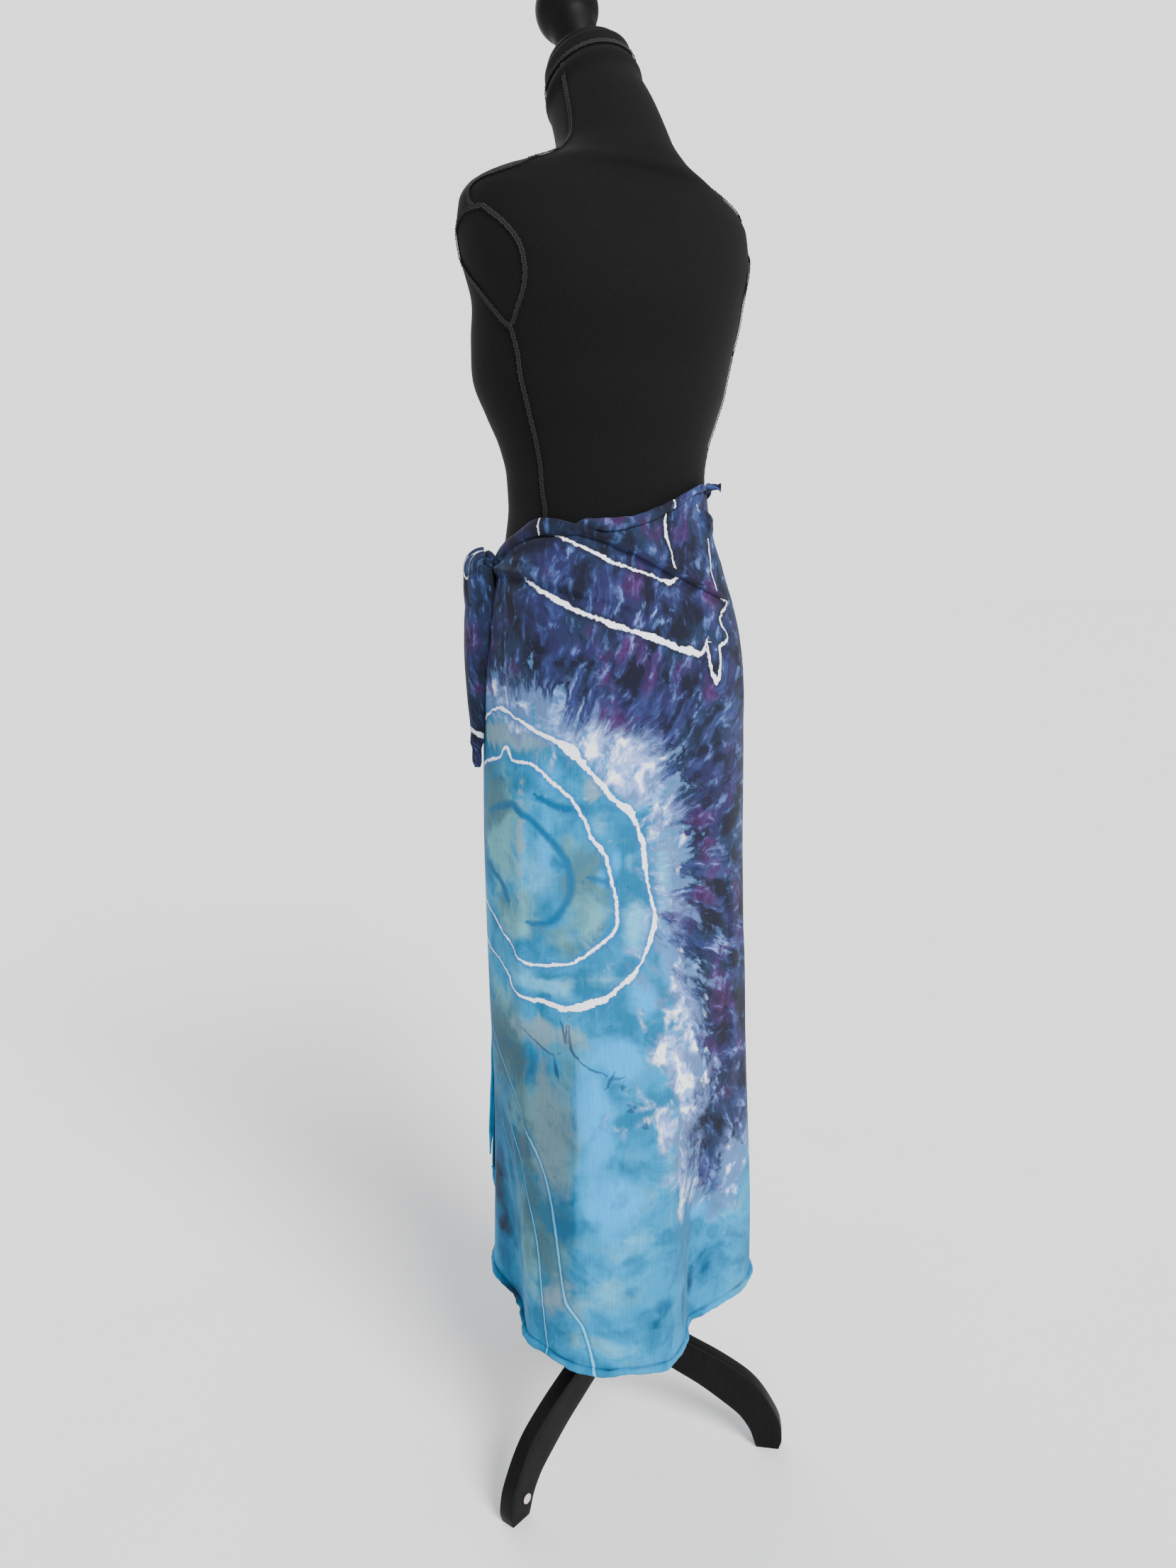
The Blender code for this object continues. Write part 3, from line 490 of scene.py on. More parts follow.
# %% [markdown]
# ## The worn cloth
# The sarong is modelled as one thin shell, from its hidden start at the front, round the back,
# to the free edge that lies over that start. The rows of its grid follow the over-folds at the
# hip, so their edges stay crisp: there the wall steps out by the thickness of the second layer.
# The shell is given its thickness at the end, by a modifier, towards the body.

# %% The over-folds' edges
CREASE_LINE = (
    (-78, 1.085), (-40, 1.080), (-14, 1.100), (6, 1.112), (38, 1.118),
    (60, 1.104), (91, 1.077), (123, 1.052), (138, 1.044), (160, 1.044),
    (210, 1.060), (270, 1.060), (315, 1.062),
)
PLEAT_LINE = (
    (-78, 1.050), (-40, 1.060), (-12, 1.080), (2, 1.078), (18, 1.074),
    (38, 1.058), (56, 1.048), (80, 1.034), (110, 1.016), (140, 1.006),
    (200, 1.010), (270, 1.010), (315, 1.010),
)
crease_line = curve(*zip(*CREASE_LINE))
pleat_line = curve(*zip(*PLEAT_LINE))


def packed(low, high, count, pull):
    """Steps from low to high that lie closer together near both ends."""
    share = np.linspace(0, 1, count)[:, None]
    share = share - pull * np.sin(2 * pi * share) / (2 * pi)
    return low + (high - low) * share


PANEL_PROUD = 0.0034
PLEAT_PROUD = 0.0040
LIP_PROUD = 0.0034


def over_folds(turn, height):
    """The second thickness of cloth: the panel over the right hip, and the knot's pleat."""
    above = smooth_step(-0.0012, 0.0022, height - crease_line(turn))
    panel = above * smooth_step(16, 40, turn) * (1 - smooth_step(136, 152, turn))
    within = smooth_step(-0.0010, 0.0024, height - pleat_line(turn))
    within = within * (1 - above * smooth_step(10, 30, turn))
    fan = within * (1 - smooth_step(34, 84, turn)) * smooth_step(-24, -14, turn)
    lip = bump(height, pleat_line(turn) + 0.0045, 0.0042) * fan
    return PANEL_PROUD * panel + PLEAT_PROUD * fan + LIP_PROUD * lip


print("the over-folds stand", PANEL_PROUD * 1000, "and", PLEAT_PROUD * 1000, "mm proud")

# %% Wind the shell
COLUMNS_ROUND = 300
JERSEY = 0.0013
HEM_TUCK = 0.0025
LEAST_PANEL = 0.014
LEAST_PLEAT = 0.018
DEEPEST = 0.0040
DEEPEST_ON_FORM = 0.0007
PRESSED_FLAT = 0.8
turns = np.linspace(WRAP_START, WRAP_END, COLUMNS_ROUND)
upper = top_edge(turns) - ROLL_TALL * 0.4
panel_edge = np.minimum(crease_line(turns), upper - LEAST_PANEL)
fan_edge = np.minimum(pleat_line(turns), panel_edge - LEAST_PLEAT)
hem = HEM_HEIGHT + hem_rise(turns) - HEM_TUCK
runs = [
    packed(upper, panel_edge, 18, 0.55)[:-1],
    packed(panel_edge, fan_edge, 16, 0.60)[:-1],
    packed(fan_edge, LOOSE_HEIGHT + 0 * turns, 34, 0.25)[:-1],
    packed(LOOSE_HEIGHT + 0 * turns, hem, 86, 0.15),
]
heights = np.concatenate(runs)
places = np.broadcast_to(turns, heights.shape) + corner_lead(turns, heights)
relief = crease_relief(places, heights) + over_folds(places, heights)
under = smooth_step(-30, -46, places)
relief = relief * (1 - PRESSED_FLAT * under)
relief = np.maximum(relief, -np.where(heights > 0.90, DEEPEST_ON_FORM, DEEPEST))
out, up = wall_frames(places, heights)
shell = wrap_points(places, heights) + out * relief[..., None]
sarong = new_worn("sarong", grid_mesh("sarong", shell[::-1]), places[::-1], heights[::-1],
                  "skirt_left", "skirt_right", "skirt_front", "pleat_knot", "pleat_back")
thicken(sarong, JERSEY, -1.0)
print("the shell has", len(sarong.data.polygons), "faces")

# %% [markdown]
# ## Rolled edges
# Cut jersey curls up along its edges by itself. Round the waist it makes a thick soft roll, and
# at the hem a thin one. A roll is a tube over a path, whose outline is flattened against the
# body, swells and thins unevenly, and carries the spiral that the curling leaves. Each is swept
# at the same places as its solid, so it sits where that one sat.

# %% A tube over a path
def tube(name, path, across, up, half_across, half_up, sides=24, twist=0.0, ridges=()):
    """A closed tube; ridges are (count, height, turns along) of the spiral folds on it."""
    share = np.linspace(0, 1, len(path))[:, None]
    angle = np.linspace(0, 2 * pi, sides, endpoint=False)[None, :] + twist * share
    size = np.ones_like(angle)
    for count, height, winds in ridges:
        size = size + height * np.cos(count * (angle - twist * share) + winds * share * 2 * pi)
    a = (half_across[:, None] * size * np.cos(angle))[..., None]
    b = (half_up[:, None] * size * np.sin(angle))[..., None]
    return grid_mesh(name, path[:, None] + across[:, None] * a + up[:, None] * b, True)


def narrowing(count, ends, least=0.33):
    """1 along a roll, and narrowing towards its two ends."""
    share = np.linspace(0, 1, count)
    near = np.minimum(share, 1 - share) / ends
    return least + (1 - least) * smooth_step(0.0, 1.0, near)


def unevenness(count, *waves):
    """A gentle swelling made of a few waves, each (size, times along, shift)."""
    share = np.linspace(0, 1, count)
    return 1 + sum(size * np.sin(2 * pi * times * share + shift) for size, times, shift in waves)


def around(count, sides, girth):
    """How far round a roll each point is, so that the dye runs round it and not along it."""
    angle = (np.linspace(0, 2 * pi, sides, endpoint=False) + pi) % (2 * pi) - pi
    return np.tile(angle / (2 * pi) * girth, count)


print("a roll's ends narrow to", float(narrowing(3, 0.5)[0]), "of its size")

# %% The shape of the rolled waist edge, in its three stretches
def left_roll(turn):
    """Along the top at first, then down over the panel's edge towards the right hip."""
    tall = 0.0172 - 0.0082 * smooth_step(24, 52, turn) - 0.0030 * smooth_step(80, 134, turn)
    thick = 0.0084 - 0.0026 * smooth_step(28, 56, turn) - 0.0012 * smooth_step(90, 134, turn)
    top = top_edge(turn) - 0.0112
    height = top + (crease_line(turn) + 0.0042 - top) * smooth_step(20, 46, turn)
    return tall, thick, height + 0.0018 - 0.0058 * (1 - smooth_step(-14, 2, turn))


def back_roll(turn):
    """Out from under the left one, and thinner towards the right hip."""
    tall = 0.0130 - 0.0045 * smooth_step(60, 120, turn)
    thick = 0.0062 - 0.0012 * smooth_step(60, 120, turn)
    return tall, thick, top_edge(turn) - 0.0012 - tall / 2 - 0.0090 * (1 - smooth_step(33, 46, turn))


def front_roll(turn):
    """Even all the way round the hidden front."""
    tall = 0.0150 + 0 * turn
    return tall, 0.0062 + 0 * turn, top_edge(turn) - 0.0015 - tall / 2


print("at the knot the left roll is", round(float(left_roll(0)[0]) * 1000, 1), "mm tall")

# %% Roll the waist edge
Roll = namedtuple("Roll", "name start end points winds ends shape")
WAIST_ROLLS = (
    Roll("waist_roll_left", -13.8, 134, 330, 2.4, 0.06, left_roll),
    Roll("waist_roll_back", 33, 137, 220, -2.4, 0.08, back_roll),
    Roll("waist_roll_front", 151, 330, 320, 3.6, 0.10, front_roll),
)
SIDES = 26
ROLL_GIRTH = 0.045
for roll in WAIST_ROLLS:
    turns = np.linspace(roll.start, roll.end, roll.points)
    tall, thick, heights = roll.shape(turns)
    swelling = unevenness(roll.points, (0.05, 4.3, 1), (0.04, 9.7, 2))
    size = narrowing(roll.points, roll.ends) * swelling
    out, up = wall_frames(turns, heights)
    clear = thick / 2 + 0.0012 + 0.0016 * smooth_step(38, 60, turns) * (turns < 140)
    path = wrap_points(turns, heights) + out * clear[:, None]
    ridges = ((2, 0.04, roll.winds), (5, 0.030, roll.winds * 2), (3, 0.03, -roll.winds))
    mesh = tube(roll.name, path, out, up, thick / 2 * size, tall / 2 * size, SIDES, 0.0, ridges)
    up_cloth = np.repeat(heights, SIDES) + around(roll.points, SIDES, ROLL_GIRTH)
    new_worn(roll.name + "_curled", mesh, np.repeat(turns, SIDES), up_cloth, roll.name)
print("the waist edge is rolled in", len(WAIST_ROLLS), "stretches")

# %% The rolled hem
HEM_RADIUS = 0.00425
THIN_SIDES = 16
count = 560
turns = np.linspace(WRAP_START + 1, WRAP_END - 1, count)
share = np.linspace(0, 1, count)
heights = HEM_HEIGHT + hem_rise(turns)
lead = corner_lead(turns, heights)
path = wrap_points(turns + lead, heights, -CLOTH / 2 + HEM_RADIUS * 0.35)
gather = 0.0007 * np.sin(share * 118) + 0.0005 * np.sin(share * 231 + 1)
gather = gather + 0.0004 * np.sin(share * 67)
path[:, 2] = heights - HEM_RADIUS + 0.0004
away = unit((path - STAND - (0.0, 0.004, 0.0)) * (1, 1, 0))
path = path + away * gather[:, None]
size = narrowing(count, 0.02) * unevenness(count, (0.09, 17, 0), (0.08, 41, 2), (0.05, 90, 1))
half_tall = HEM_RADIUS * np.minimum(size, 1.05) * 0.95
mesh = tube("hem", path, away, np.broadcast_to(UPRIGHT, path.shape), HEM_RADIUS * size, half_tall,
            THIN_SIDES, 0.0, ((2, 0.10, 14), (3, 0.07, -23), (1, 0.05, 31)))
up_cloth = np.repeat(heights - 0.004, THIN_SIDES) + around(count, THIN_SIDES, 0.026)
new_worn("hem_roll_curled", mesh, np.repeat(turns, THIN_SIDES), up_cloth, "hem_roll")
print("the hem's roll is", round(2 * HEM_RADIUS * 1000, 1), "mm thick")

# %% The rolled free edge
count = 180
turn = WRAP_END - 2
heights = np.linspace(float(top_edge(turn)) - 0.150, HEM_HEIGHT + 0.148 + 0.006, count)
turns = turn + corner_lead(np.full(count, float(WRAP_END)), heights)
out, up = wall_frames(turns, heights)
path = wrap_points(turns, heights, 0.0036)
size = narrowing(count, 0.06) * unevenness(count, (0.10, 5.3, 0), (0.06, 13, 1))
mesh = tube("side", path, np.cross(out, up), out, 0.0036 * size, 0.0028 * size,
            THIN_SIDES, 0.0, ((2, 0.08, 6), (3, 0.06, -9)))
round_cloth = np.repeat(turns, THIN_SIDES) + around(count, THIN_SIDES, 8.0)
new_worn("side_roll_curled", mesh, round_cloth, np.repeat(heights, THIN_SIDES), "side_roll")
print("the free edge's roll ends", round(float(heights[-1]), 3), "m up")

# %% [markdown]
# ## The knot and its ends
# The two top corners are tied in an overhand knot at the left hip. The long end comes over the
# top of the knot and hangs down as a soft leaf, gathered at the top and twisted at its tip.
# A cloth simulation rarely pulls a knot tight, so the knot is a lump whose surface is pushed up
# into crossing strands, and each end is a rolled sheet with its own ridges.

# %% The knot
KNOT_TURN = -21.0
KNOT_HEIGHT = 1.088
KNOT_OUT = 0.0150
KNOT_ASIDE = 0.0235
KNOT_UP = 0.0210
longitude = np.linspace(0, 2 * pi, 72, endpoint=False)[None, :]
latitude = np.linspace(-pi / 2 + 0.04, pi / 2 - 0.04, 54)[:, None]
side = np.cos(latitude) * np.sin(longitude)
front = np.cos(latitude) * np.cos(longitude)
rise = np.sin(latitude) + 0 * longitude
first = side * 0.80 + rise * 0.60
second = side * 0.45 - rise * 0.89
strands = 0.16 * bump(first, 0.34, 0.20) + 0.13 * bump(first, -0.22, 0.18)
strands = strands + 0.15 * bump(second, -0.45, 0.22) * (1 - bump(first, 0.05, 0.30))
strands = strands + 0.09 * bump(second, 0.35, 0.16) + 0.06 * bump(side, 0.62, 0.14)
creased = 0.022 * np.cos(13 * first + 3 * rise) + 0.014 * np.cos(17 * second - 2 * side)
swell = 0.90 + strands + creased
out, up = wall_frames(np.array(KNOT_TURN), np.array(KNOT_HEIGHT))
flat_out = unit(out * (1, 1, 0))
sideways = np.cross(UPRIGHT, flat_out)
middle = wrap_points(np.array(KNOT_TURN + 2), np.array(KNOT_HEIGHT - 0.011), KNOT_OUT)
knot_points = (middle + flat_out * (KNOT_OUT * front * swell)[..., None]
               + sideways * (KNOT_ASIDE * side * swell)[..., None]
               + UPRIGHT * (KNOT_UP * rise * swell)[..., None])
new_worn("knot_tied", grid_mesh("knot", knot_points, True),
         KNOT_TURN + 12 * side, KNOT_HEIGHT + 0.02 * rise, "knot")
print("the knot is", round(2000 * KNOT_ASIDE), "mm across")

# %% The two ends
Tail = namedtuple("Tail", "name turn_top turn_low low drop half")
TAILS = (
    Tail("tail", -16.8, -17.0, 0.866, 0.0000, 0.0252),
    Tail("tail_front", 334.0, 315.0, 0.957, 0.0060, 0.0160),
)
RIBS = 62
TAIL_CLOTH = 0.0014
MEAN_RADIUS = 0.147
share = np.linspace(0, 1, 150)
down = share[:, None]
for tail in TAILS:
    high = 1.0920 - tail.drop
    over = curve((0, 0.06, 0.12, 0.20, 0.32, 0.5, 1.0),
                 (high - 0.002, high + 0.004, high - 0.002, high - 0.020, high - 0.050,
                  high - 0.050 - (high - 0.050 - tail.low) * 0.27, tail.low))
    stand_off = curve((0, 0.06, 0.12, 0.20, 0.32, 0.5, 0.8, 1.0),
                      (0.010, 0.0195, 0.0240, 0.0195, 0.0120, 0.0118, 0.0100, 0.0096))
    width = curve((0, 0.06, 0.14, 0.26, 0.45, 0.65, 0.82, 0.885, 0.92, 0.97, 1.0),
                  (0.62, 0.80, 1.0, 1.04, 0.92, 0.70, 0.50, 0.42, 0.26, 0.27, 0.16))
    turns = tail.turn_top + (tail.turn_low - tail.turn_top) * smooth_step(0.1, 1.0, share)
    heights = over(share)
    middle = wrap_points(turns, heights, stand_off(share) - 0.0030)
    half = tail.half * width(share)
    out, up = wall_frames(turns, heights)
    away = unit(out * (1, 1, 0))
    beside = np.cross(UPRIGHT, away)
    run = unit(np.gradient(middle, axis=0))
    normal = unit(np.cross(beside, run))
    normal = normal * np.sign((normal * (away + UPRIGHT * 0.3)).sum(axis=1))[:, None]
    curled = np.radians(128 + 16 * (1 - smooth_step(0.28, 0.42, share)))
    angle = np.linspace(-1, 1, RIBS)[None, :] * curled[:, None]
    gathered = 0.5 + 1.3 * (1 - smooth_step(0.05, 0.35, down)) + 1.6 * smooth_step(0.84, 0.93, down)
    folds = 0.050 * np.cos(5 * angle + 5 * down) + 0.032 * np.cos(9 * angle - 9 * down)
    folds = folds + 0.020 * np.cos(2 * angle + 40 * down) * smooth_step(0.86, 0.92, down)
    reach = half[:, None] * (1 + folds * gathered)
    depth = 0.62 + 0.10 * smooth_step(0.10, 0.30, down) + 0.2 * smooth_step(0.84, 0.92, down)
    points = (middle[:, None] + beside[:, None] * (0.98 * reach * np.sin(angle))[..., None]
              + normal[:, None] * (depth * reach * np.cos(angle))[..., None])
    across = np.degrees(half[:, None] * angle / MEAN_RADIUS)
    piece = new_worn(tail.name + "_end", grid_mesh(tail.name, points),
                     turns[:, None] + across, np.repeat(heights, RIBS), tail.name)
    thicken(piece, TAIL_CLOTH, 1.0)
    print(tail.name, "hangs from", round(float(heights.max()), 3), "to", tail.low, "m")

# %% [markdown]
# ## The puff and the twisted tip at the right hip
# Where the waist roll passes the right hip a little spare cloth pops out from under it, and the
# rolled edge ends in a small twisted tip. Both are modelled from the wall outwards.

# %% The puff
PUFF_PROUD = 0.0075
rows, columns = 44, 50
turns, heights = np.meshgrid(np.linspace(125, 139, columns), np.linspace(1.151, 1.120, rows))
u = np.linspace(0, 1, columns)[None, :]
v = np.linspace(0, 1, rows)[:, None]
rise = (np.sin(pi * u) * np.sin(pi * v)) ** 0.7
pinch = 0.0012 * np.cos(9 * u + 5 * v) * np.sin(pi * u)
pinch = pinch + 0.0009 * np.cos(14 * u - 6 * v) * np.sin(pi * v)
out, up = wall_frames(turns, heights)
points = wrap_points(turns, heights, 0.0042) + out * ((PUFF_PROUD + pinch) * rise)[..., None]
puff = new_worn("hip_puff_soft", grid_mesh("puff", points), turns, heights, "hip_puff")
thicken(puff, JERSEY, 1.0)
print("the puff stands", PUFF_PROUD * 1000, "mm out")

# %% The tip
TIP_TURN = 136.6
TIP_REACH = 0.0170
TIP_SIDES = 22
count = 70
share = np.linspace(0, 1, count)
height = float(top_edge(TIP_TURN)) - 0.0062
base = wrap_points(np.array(TIP_TURN), np.array(height), 0.0035)
away = np.array((cos(radians(TIP_TURN)), sin(radians(TIP_TURN)), 0.0))
beside = np.array((-away[1], away[0], 0.0))
lift = 0.0030 * np.sin(share * 2.2)
path = (base + away * (TIP_REACH * share)[:, None] + beside * (0.0050 * share ** 2)[:, None]
        + UPRIGHT * lift[:, None])
size = 1.20 - 0.55 * smooth_step(0.0, 0.7, share) + 0.34 * smooth_step(0.78, 0.98, share)
mesh = tube("tip", path, np.broadcast_to(beside, path.shape), np.broadcast_to(UPRIGHT, path.shape),
            0.0044 * size, 0.0046 * size, TIP_SIDES, 2.0, ((3, 0.15, 0.7), (5, 0.09, -1.1)))
new_worn("edge_tip_twisted", mesh, np.full(count * TIP_SIDES, TIP_TURN),
         height + around(count, TIP_SIDES, 0.028), "edge_tip")
print("the tip reaches", TIP_REACH * 1000, "mm out")

# %% [markdown]
# ## The dress form
# The form is foam under a black jersey cover. The same sections that carry the cloth make its
# body, on a finer grid, and the neck leans forward. On top of that the cover's own stitched
# collar is raised.

# %% The covered body
NECK_LEAN = 30
FORM_COLUMNS = 160
torso = np.concatenate([
    np.linspace(0.866, 0.888, 6)[:-1], np.linspace(0.888, 1.440, 96)[:-1],
    np.linspace(1.440, 1.530, 30)[:-1], np.linspace(1.530, 1.625, 34),
])


def form_points(turn, height, out=0.0):
    """Points of the jersey cover, moved out from the body's middle by a distance."""
    lean = np.radians(NECK_LEAN) * smooth_step(1.513, 1.573, height)
    squareness = SQUARENESS + 0.3 * smooth_step(1.35, 1.43, height)
    squareness = squareness - 0.46 * smooth_step(1.48, 1.53, height)
    radius, centre_y = section_radius(FORM, turn, height, squareness)
    radius = radius + out
    angle = np.radians(turn)
    along = radius * np.sin(angle)
    spot = [radius * np.cos(angle), centre_y + along * np.cos(lean), height + along * np.sin(lean)]
    return np.stack(spot, axis=-1) + STAND


turns, heights = np.meshgrid(np.linspace(0, 360, FORM_COLUMNS, endpoint=False), torso)
collar = 0.0030 * bump(heights, 1.596, 0.008) - 0.0012 * bump(heights, 1.606, 0.004)
mesh = grid_mesh("form", form_points(turns, heights, collar), True)
new_piece("form_covered", mesh, "jersey_black", "form_body")
print("the form's cover has", len(mesh.polygons), "faces")

# %% [markdown]
# ## Stitched seams
# The cover is sewn with a flat overlocked seam: a narrow raised band, and over it a zigzag of
# thread that stands up in small loops. Each seam is a short path over the body, and its mirror
# image is sewn on the other side. The band and the thread are real meshes, because the seams are
# all that breaks the form's outline from the side.

# %% The seams' paths
# each is a row of (turn, height) on the wearer's left, and the right side mirrors it
SEAMS = (
    ((10, 1.442), (17, 1.424), (21.4, 1.405), (22.4, 1.388), (21.8, 1.370), (19.5, 1.347),
     (16.9, 1.330), (9, 1.346), (0, 1.368), (-7, 1.390), (-10.5, 1.410), (-8, 1.430), (0, 1.442),
     (10, 1.442)),
    ((16.9, 1.330), (19.5, 1.312), (21.0, 1.295), (20.8, 1.260), (19.8, 1.225), (19.5, 1.173),
     (21, 1.144), (21, 1.115)),
    ((14, 1.507), (18, 1.499), (19, 1.488), (18, 1.480), (12.3, 1.474), (6, 1.470), (2, 1.462),
     (3, 1.450), (6, 1.442)),
    ((21.4, 1.604), (17, 1.570), (12.3, 1.530), (9, 1.515), (12, 1.507)),
)
COLLAR_SEAM = tuple((turn, 1.6085) for turn in range(0, 361, 12))
mirrored = tuple(tuple((180 - turn, height) for turn, height in seam) for seam in SEAMS)
ALL_SEAMS = SEAMS + mirrored + (COLLAR_SEAM,)


def even_path(points, step):
    """A path over the form in even steps, as places, the way along, and the way out."""
    spots = smooth_path(points) / (METRES_A_DEGREE, 1.0)
    fine = form_points(spots[:, 0], spots[:, 1])
    reached = np.concatenate([[0.0], np.cumsum(np.linalg.norm(np.diff(fine, axis=0), axis=1))])
    at = np.linspace(0, reached[-1], max(4, round(reached[-1] / step)))
    turn = np.interp(at, reached, spots[:, 0])
    height = np.interp(at, reached, spots[:, 1])
    place = form_points(turn, height)
    round_body = form_points(turn + 0.5, height) - form_points(turn - 0.5, height)
    up_body = form_points(turn, height + 0.001) - form_points(turn, height - 0.001)
    out = unit(np.cross(round_body, up_body))
    return place, unit(np.gradient(place, axis=0)), out, at


def join_meshes(name, grids):
    """Several open grids in one mesh."""
    points = np.concatenate([grid.reshape(-1, 3) for grid in grids])
    faces = []
    first = 0
    for grid in grids:
        rows, columns = grid.shape[:2]
        faces += grid_faces(rows, columns, first=first)
        first += rows * columns
    mesh = bpy.data.meshes.new(name)
    mesh.from_pydata(points.tolist(), [], faces)
    mesh.shade_smooth()
    return mesh


print("the form has", len(ALL_SEAMS), "seams")

# %% Sew the seams
BAND_PROFILE = np.array(
    [(-0.0030, -0.0002), (-0.0019, 0.0006), (0, 0.0009), (0.0019, 0.0006), (0.0030, -0.0002)])
STITCH_LONG = 0.0036
STITCH_HALF = 0.0024
THREAD_RADIUS = 0.00042
THREAD_RING = np.radians(np.array((0, 90, 180, 270, 360)))
bands = []
threads = []
for seam in ALL_SEAMS:
    place, run, out, at = even_path(seam, 0.0030)
    aside = np.cross(out, run)
    bands.append(place[:, None] + aside[:, None] * BAND_PROFILE[:, :1]
                 + out[:, None] * BAND_PROFILE[:, 1:])
    for lead in (0.0, pi):
        place, run, out, at = even_path(seam, 0.0006)
        aside = np.cross(out, run)
        phase = 2 * pi * at / STITCH_LONG + lead
        loose = 1 + 0.22 * np.sin(at * 310 + lead) + 0.15 * np.sin(at * 733)
        line = place + aside * (STITCH_HALF * np.sin(phase) * loose)[:, None]
        line = line + out * (0.0013 + 0.0007 * np.abs(np.sin(phase)) * loose)[:, None]
        sweep = unit(np.gradient(line, axis=0))
        across = unit(np.cross(sweep, out))
        aside_thread = across[:, None] * (THREAD_RADIUS * np.cos(THREAD_RING))[:, None]
        above_thread = out[:, None] * (THREAD_RADIUS * np.sin(THREAD_RING))[:, None]
        threads.append(line[:, None] + aside_thread + above_thread)
new_piece("seam_bands", join_meshes("seam_bands", bands), "jersey_black")
thread = new_piece("seam_threads", join_meshes("seam_threads", threads), "jersey_black")
print(len(bands), "seams are sewn, with", len(thread.data.polygons), "faces of thread")

# %% [markdown]
# ## Turned and sawn wood
# The cap, the finial, the pole and the hub are turned on a lathe, so each is half an outline spun
# round its own axis. The legs are sawn from a board: two edges, the board's thickness, and eased
# corners. These copies have more steps than the solids and rounder edges.

# %% Turned pieces
def turned(name, node, rings, steps, turning=Matrix.Translation(STAND)):
    """Half an outline, as (radius, along) pairs, spun round its axis and put in its place."""
    angle = np.linspace(0, 2 * pi, steps, endpoint=False)
    rings = np.array(rings)
    circle = np.stack([np.cos(angle), np.sin(angle), 0 * angle], axis=-1)
    points = rings[:, None, :1] * circle + rings[:, None, 1:] * UPRIGHT
    points = points @ np.array(turning.to_3x3()).T + np.array(turning.translation)
    piece = new_piece(name, grid_mesh(name, points, True), "wood_black", node)
    ease(piece, 0.0008, 2, 40)
    return piece


def neck_place(along):
    """A distance up the leaning axis of the neck, from its top."""
    lean = radians(NECK_LEAN)
    top = FORM_SECTIONS[-1]
    spot = Vector((0.0, top.centre_y - along * sin(lean), top.height + along * cos(lean)))
    return Matrix.Translation(spot + Vector(STAND)) @ Matrix.Rotation(lean, 4, "X")


cap = [(0.0420, 0.0110), (0.0438, 0.0102), (0.0450, 0.0080), (0.0450, 0.0030), (0.0438, 0.0008),
       (0.0425, 0.0002), (0.0400, -0.0024)]
turned("neck_cap_turned", "neck_cap", cap, 80, neck_place(0.0003))
BALL = 0.0355
BALL_HEIGHT = 0.0745
ball_steps = [radians(angle) for angle in range(72, -42, -4)]
ball = [(BALL * cos(angle), BALL_HEIGHT + BALL * sin(angle)) for angle in ball_steps]
knob = [(0.0040, 0.1298), (0.0070, 0.1288), (0.0095, 0.1268), (0.0108, 0.1235), (0.0108, 0.1195),
        (0.0094, 0.1160), (0.0086, 0.1130), (0.0088, 0.1105)]
foot = [(0.0250, 0.0400), (0.0240, 0.0340), (0.0215, 0.0260), (0.0198, 0.0200), (0.0194, 0.0155),
        (0.0212, 0.0120), (0.0230, 0.0095), (0.0236, 0.0060), (0.0232, 0.0020), (0.0225, 0.0000)]
turned("finial_turned", "finial", knob + ball + foot, 80, neck_place(0.0116))
pole = [(0.0145, 0.8657), (0.0150, 0.8650), (0.0150, 0.2340), (0.0145, 0.2333)]
turned("pole_turned", "pole", pole, 48)
hub = [(0.0170, 0.2330), (0.0210, 0.2318), (0.0236, 0.2280), (0.0245, 0.2230), (0.0236, 0.2185),
       (0.0218, 0.2150), (0.0213, 0.2090), (0.0222, 0.2030), (0.0255, 0.1960), (0.0288, 0.1920),
       (0.0300, 0.1880), (0.0300, 0.1120), (0.0290, 0.1080), (0.0265, 0.1060)]
turned("hub_turned", "hub", hub, 72)
print("the ball of the finial is", BALL * 2000, "mm wide")

# %% The three legs
Rim = namedtuple("Rim", "at reach top low_reach low")
LEG_RIMS = (
    Rim(1, 0.0303, 0.1600, 0.0303, 0.1180),
    Rim(2, 0.0640, 0.1490, 0.0520, 0.1080),
    Rim(3, 0.0940, 0.1340, 0.0760, 0.0950),
    Rim(4, 0.1345, 0.1140, 0.1050, 0.0790),
    Rim(5, 0.1720, 0.0890, 0.1330, 0.0600),
    Rim(6, 0.1930, 0.0620, 0.1580, 0.0400),
    Rim(7, 0.2070, 0.0330, 0.1710, 0.0200),
    Rim(8, 0.2095, 0.0140, 0.1750, 0.0080),
    Rim(9, 0.2060, 0.0000, 0.1780, 0.0000),
)
LEG_TURNS = (18, 138, 258)
LEG_THICK = 0.0190
at = np.linspace(1, 9, 50)
rims = {name: table_curve(LEG_RIMS, "at", name)(at) for name in Rim._fields}
across = np.linspace(0, 1, 5)
board = np.zeros((50, 5, 3))
board[:, :, 0] = rims["reach"][:, None] + np.outer(rims["low_reach"] - rims["reach"], across)
board[:, :, 2] = rims["top"][:, None] + np.outer(rims["low"] - rims["top"], across)
for number, turn in enumerate(LEG_TURNS, start=1):
    name = f"leg_{number}"
    turning = np.array(Matrix.Rotation(radians(turn), 3, "Z"))
    leg = new_piece(name + "_sawn", grid_mesh(name, board @ turning.T + STAND), "wood_black", name)
    thicken(leg, LEG_THICK, 0.0)
    ease(leg, 0.0026, 3, 50)
print("three legs stand", LEG_TURNS, "degrees round")

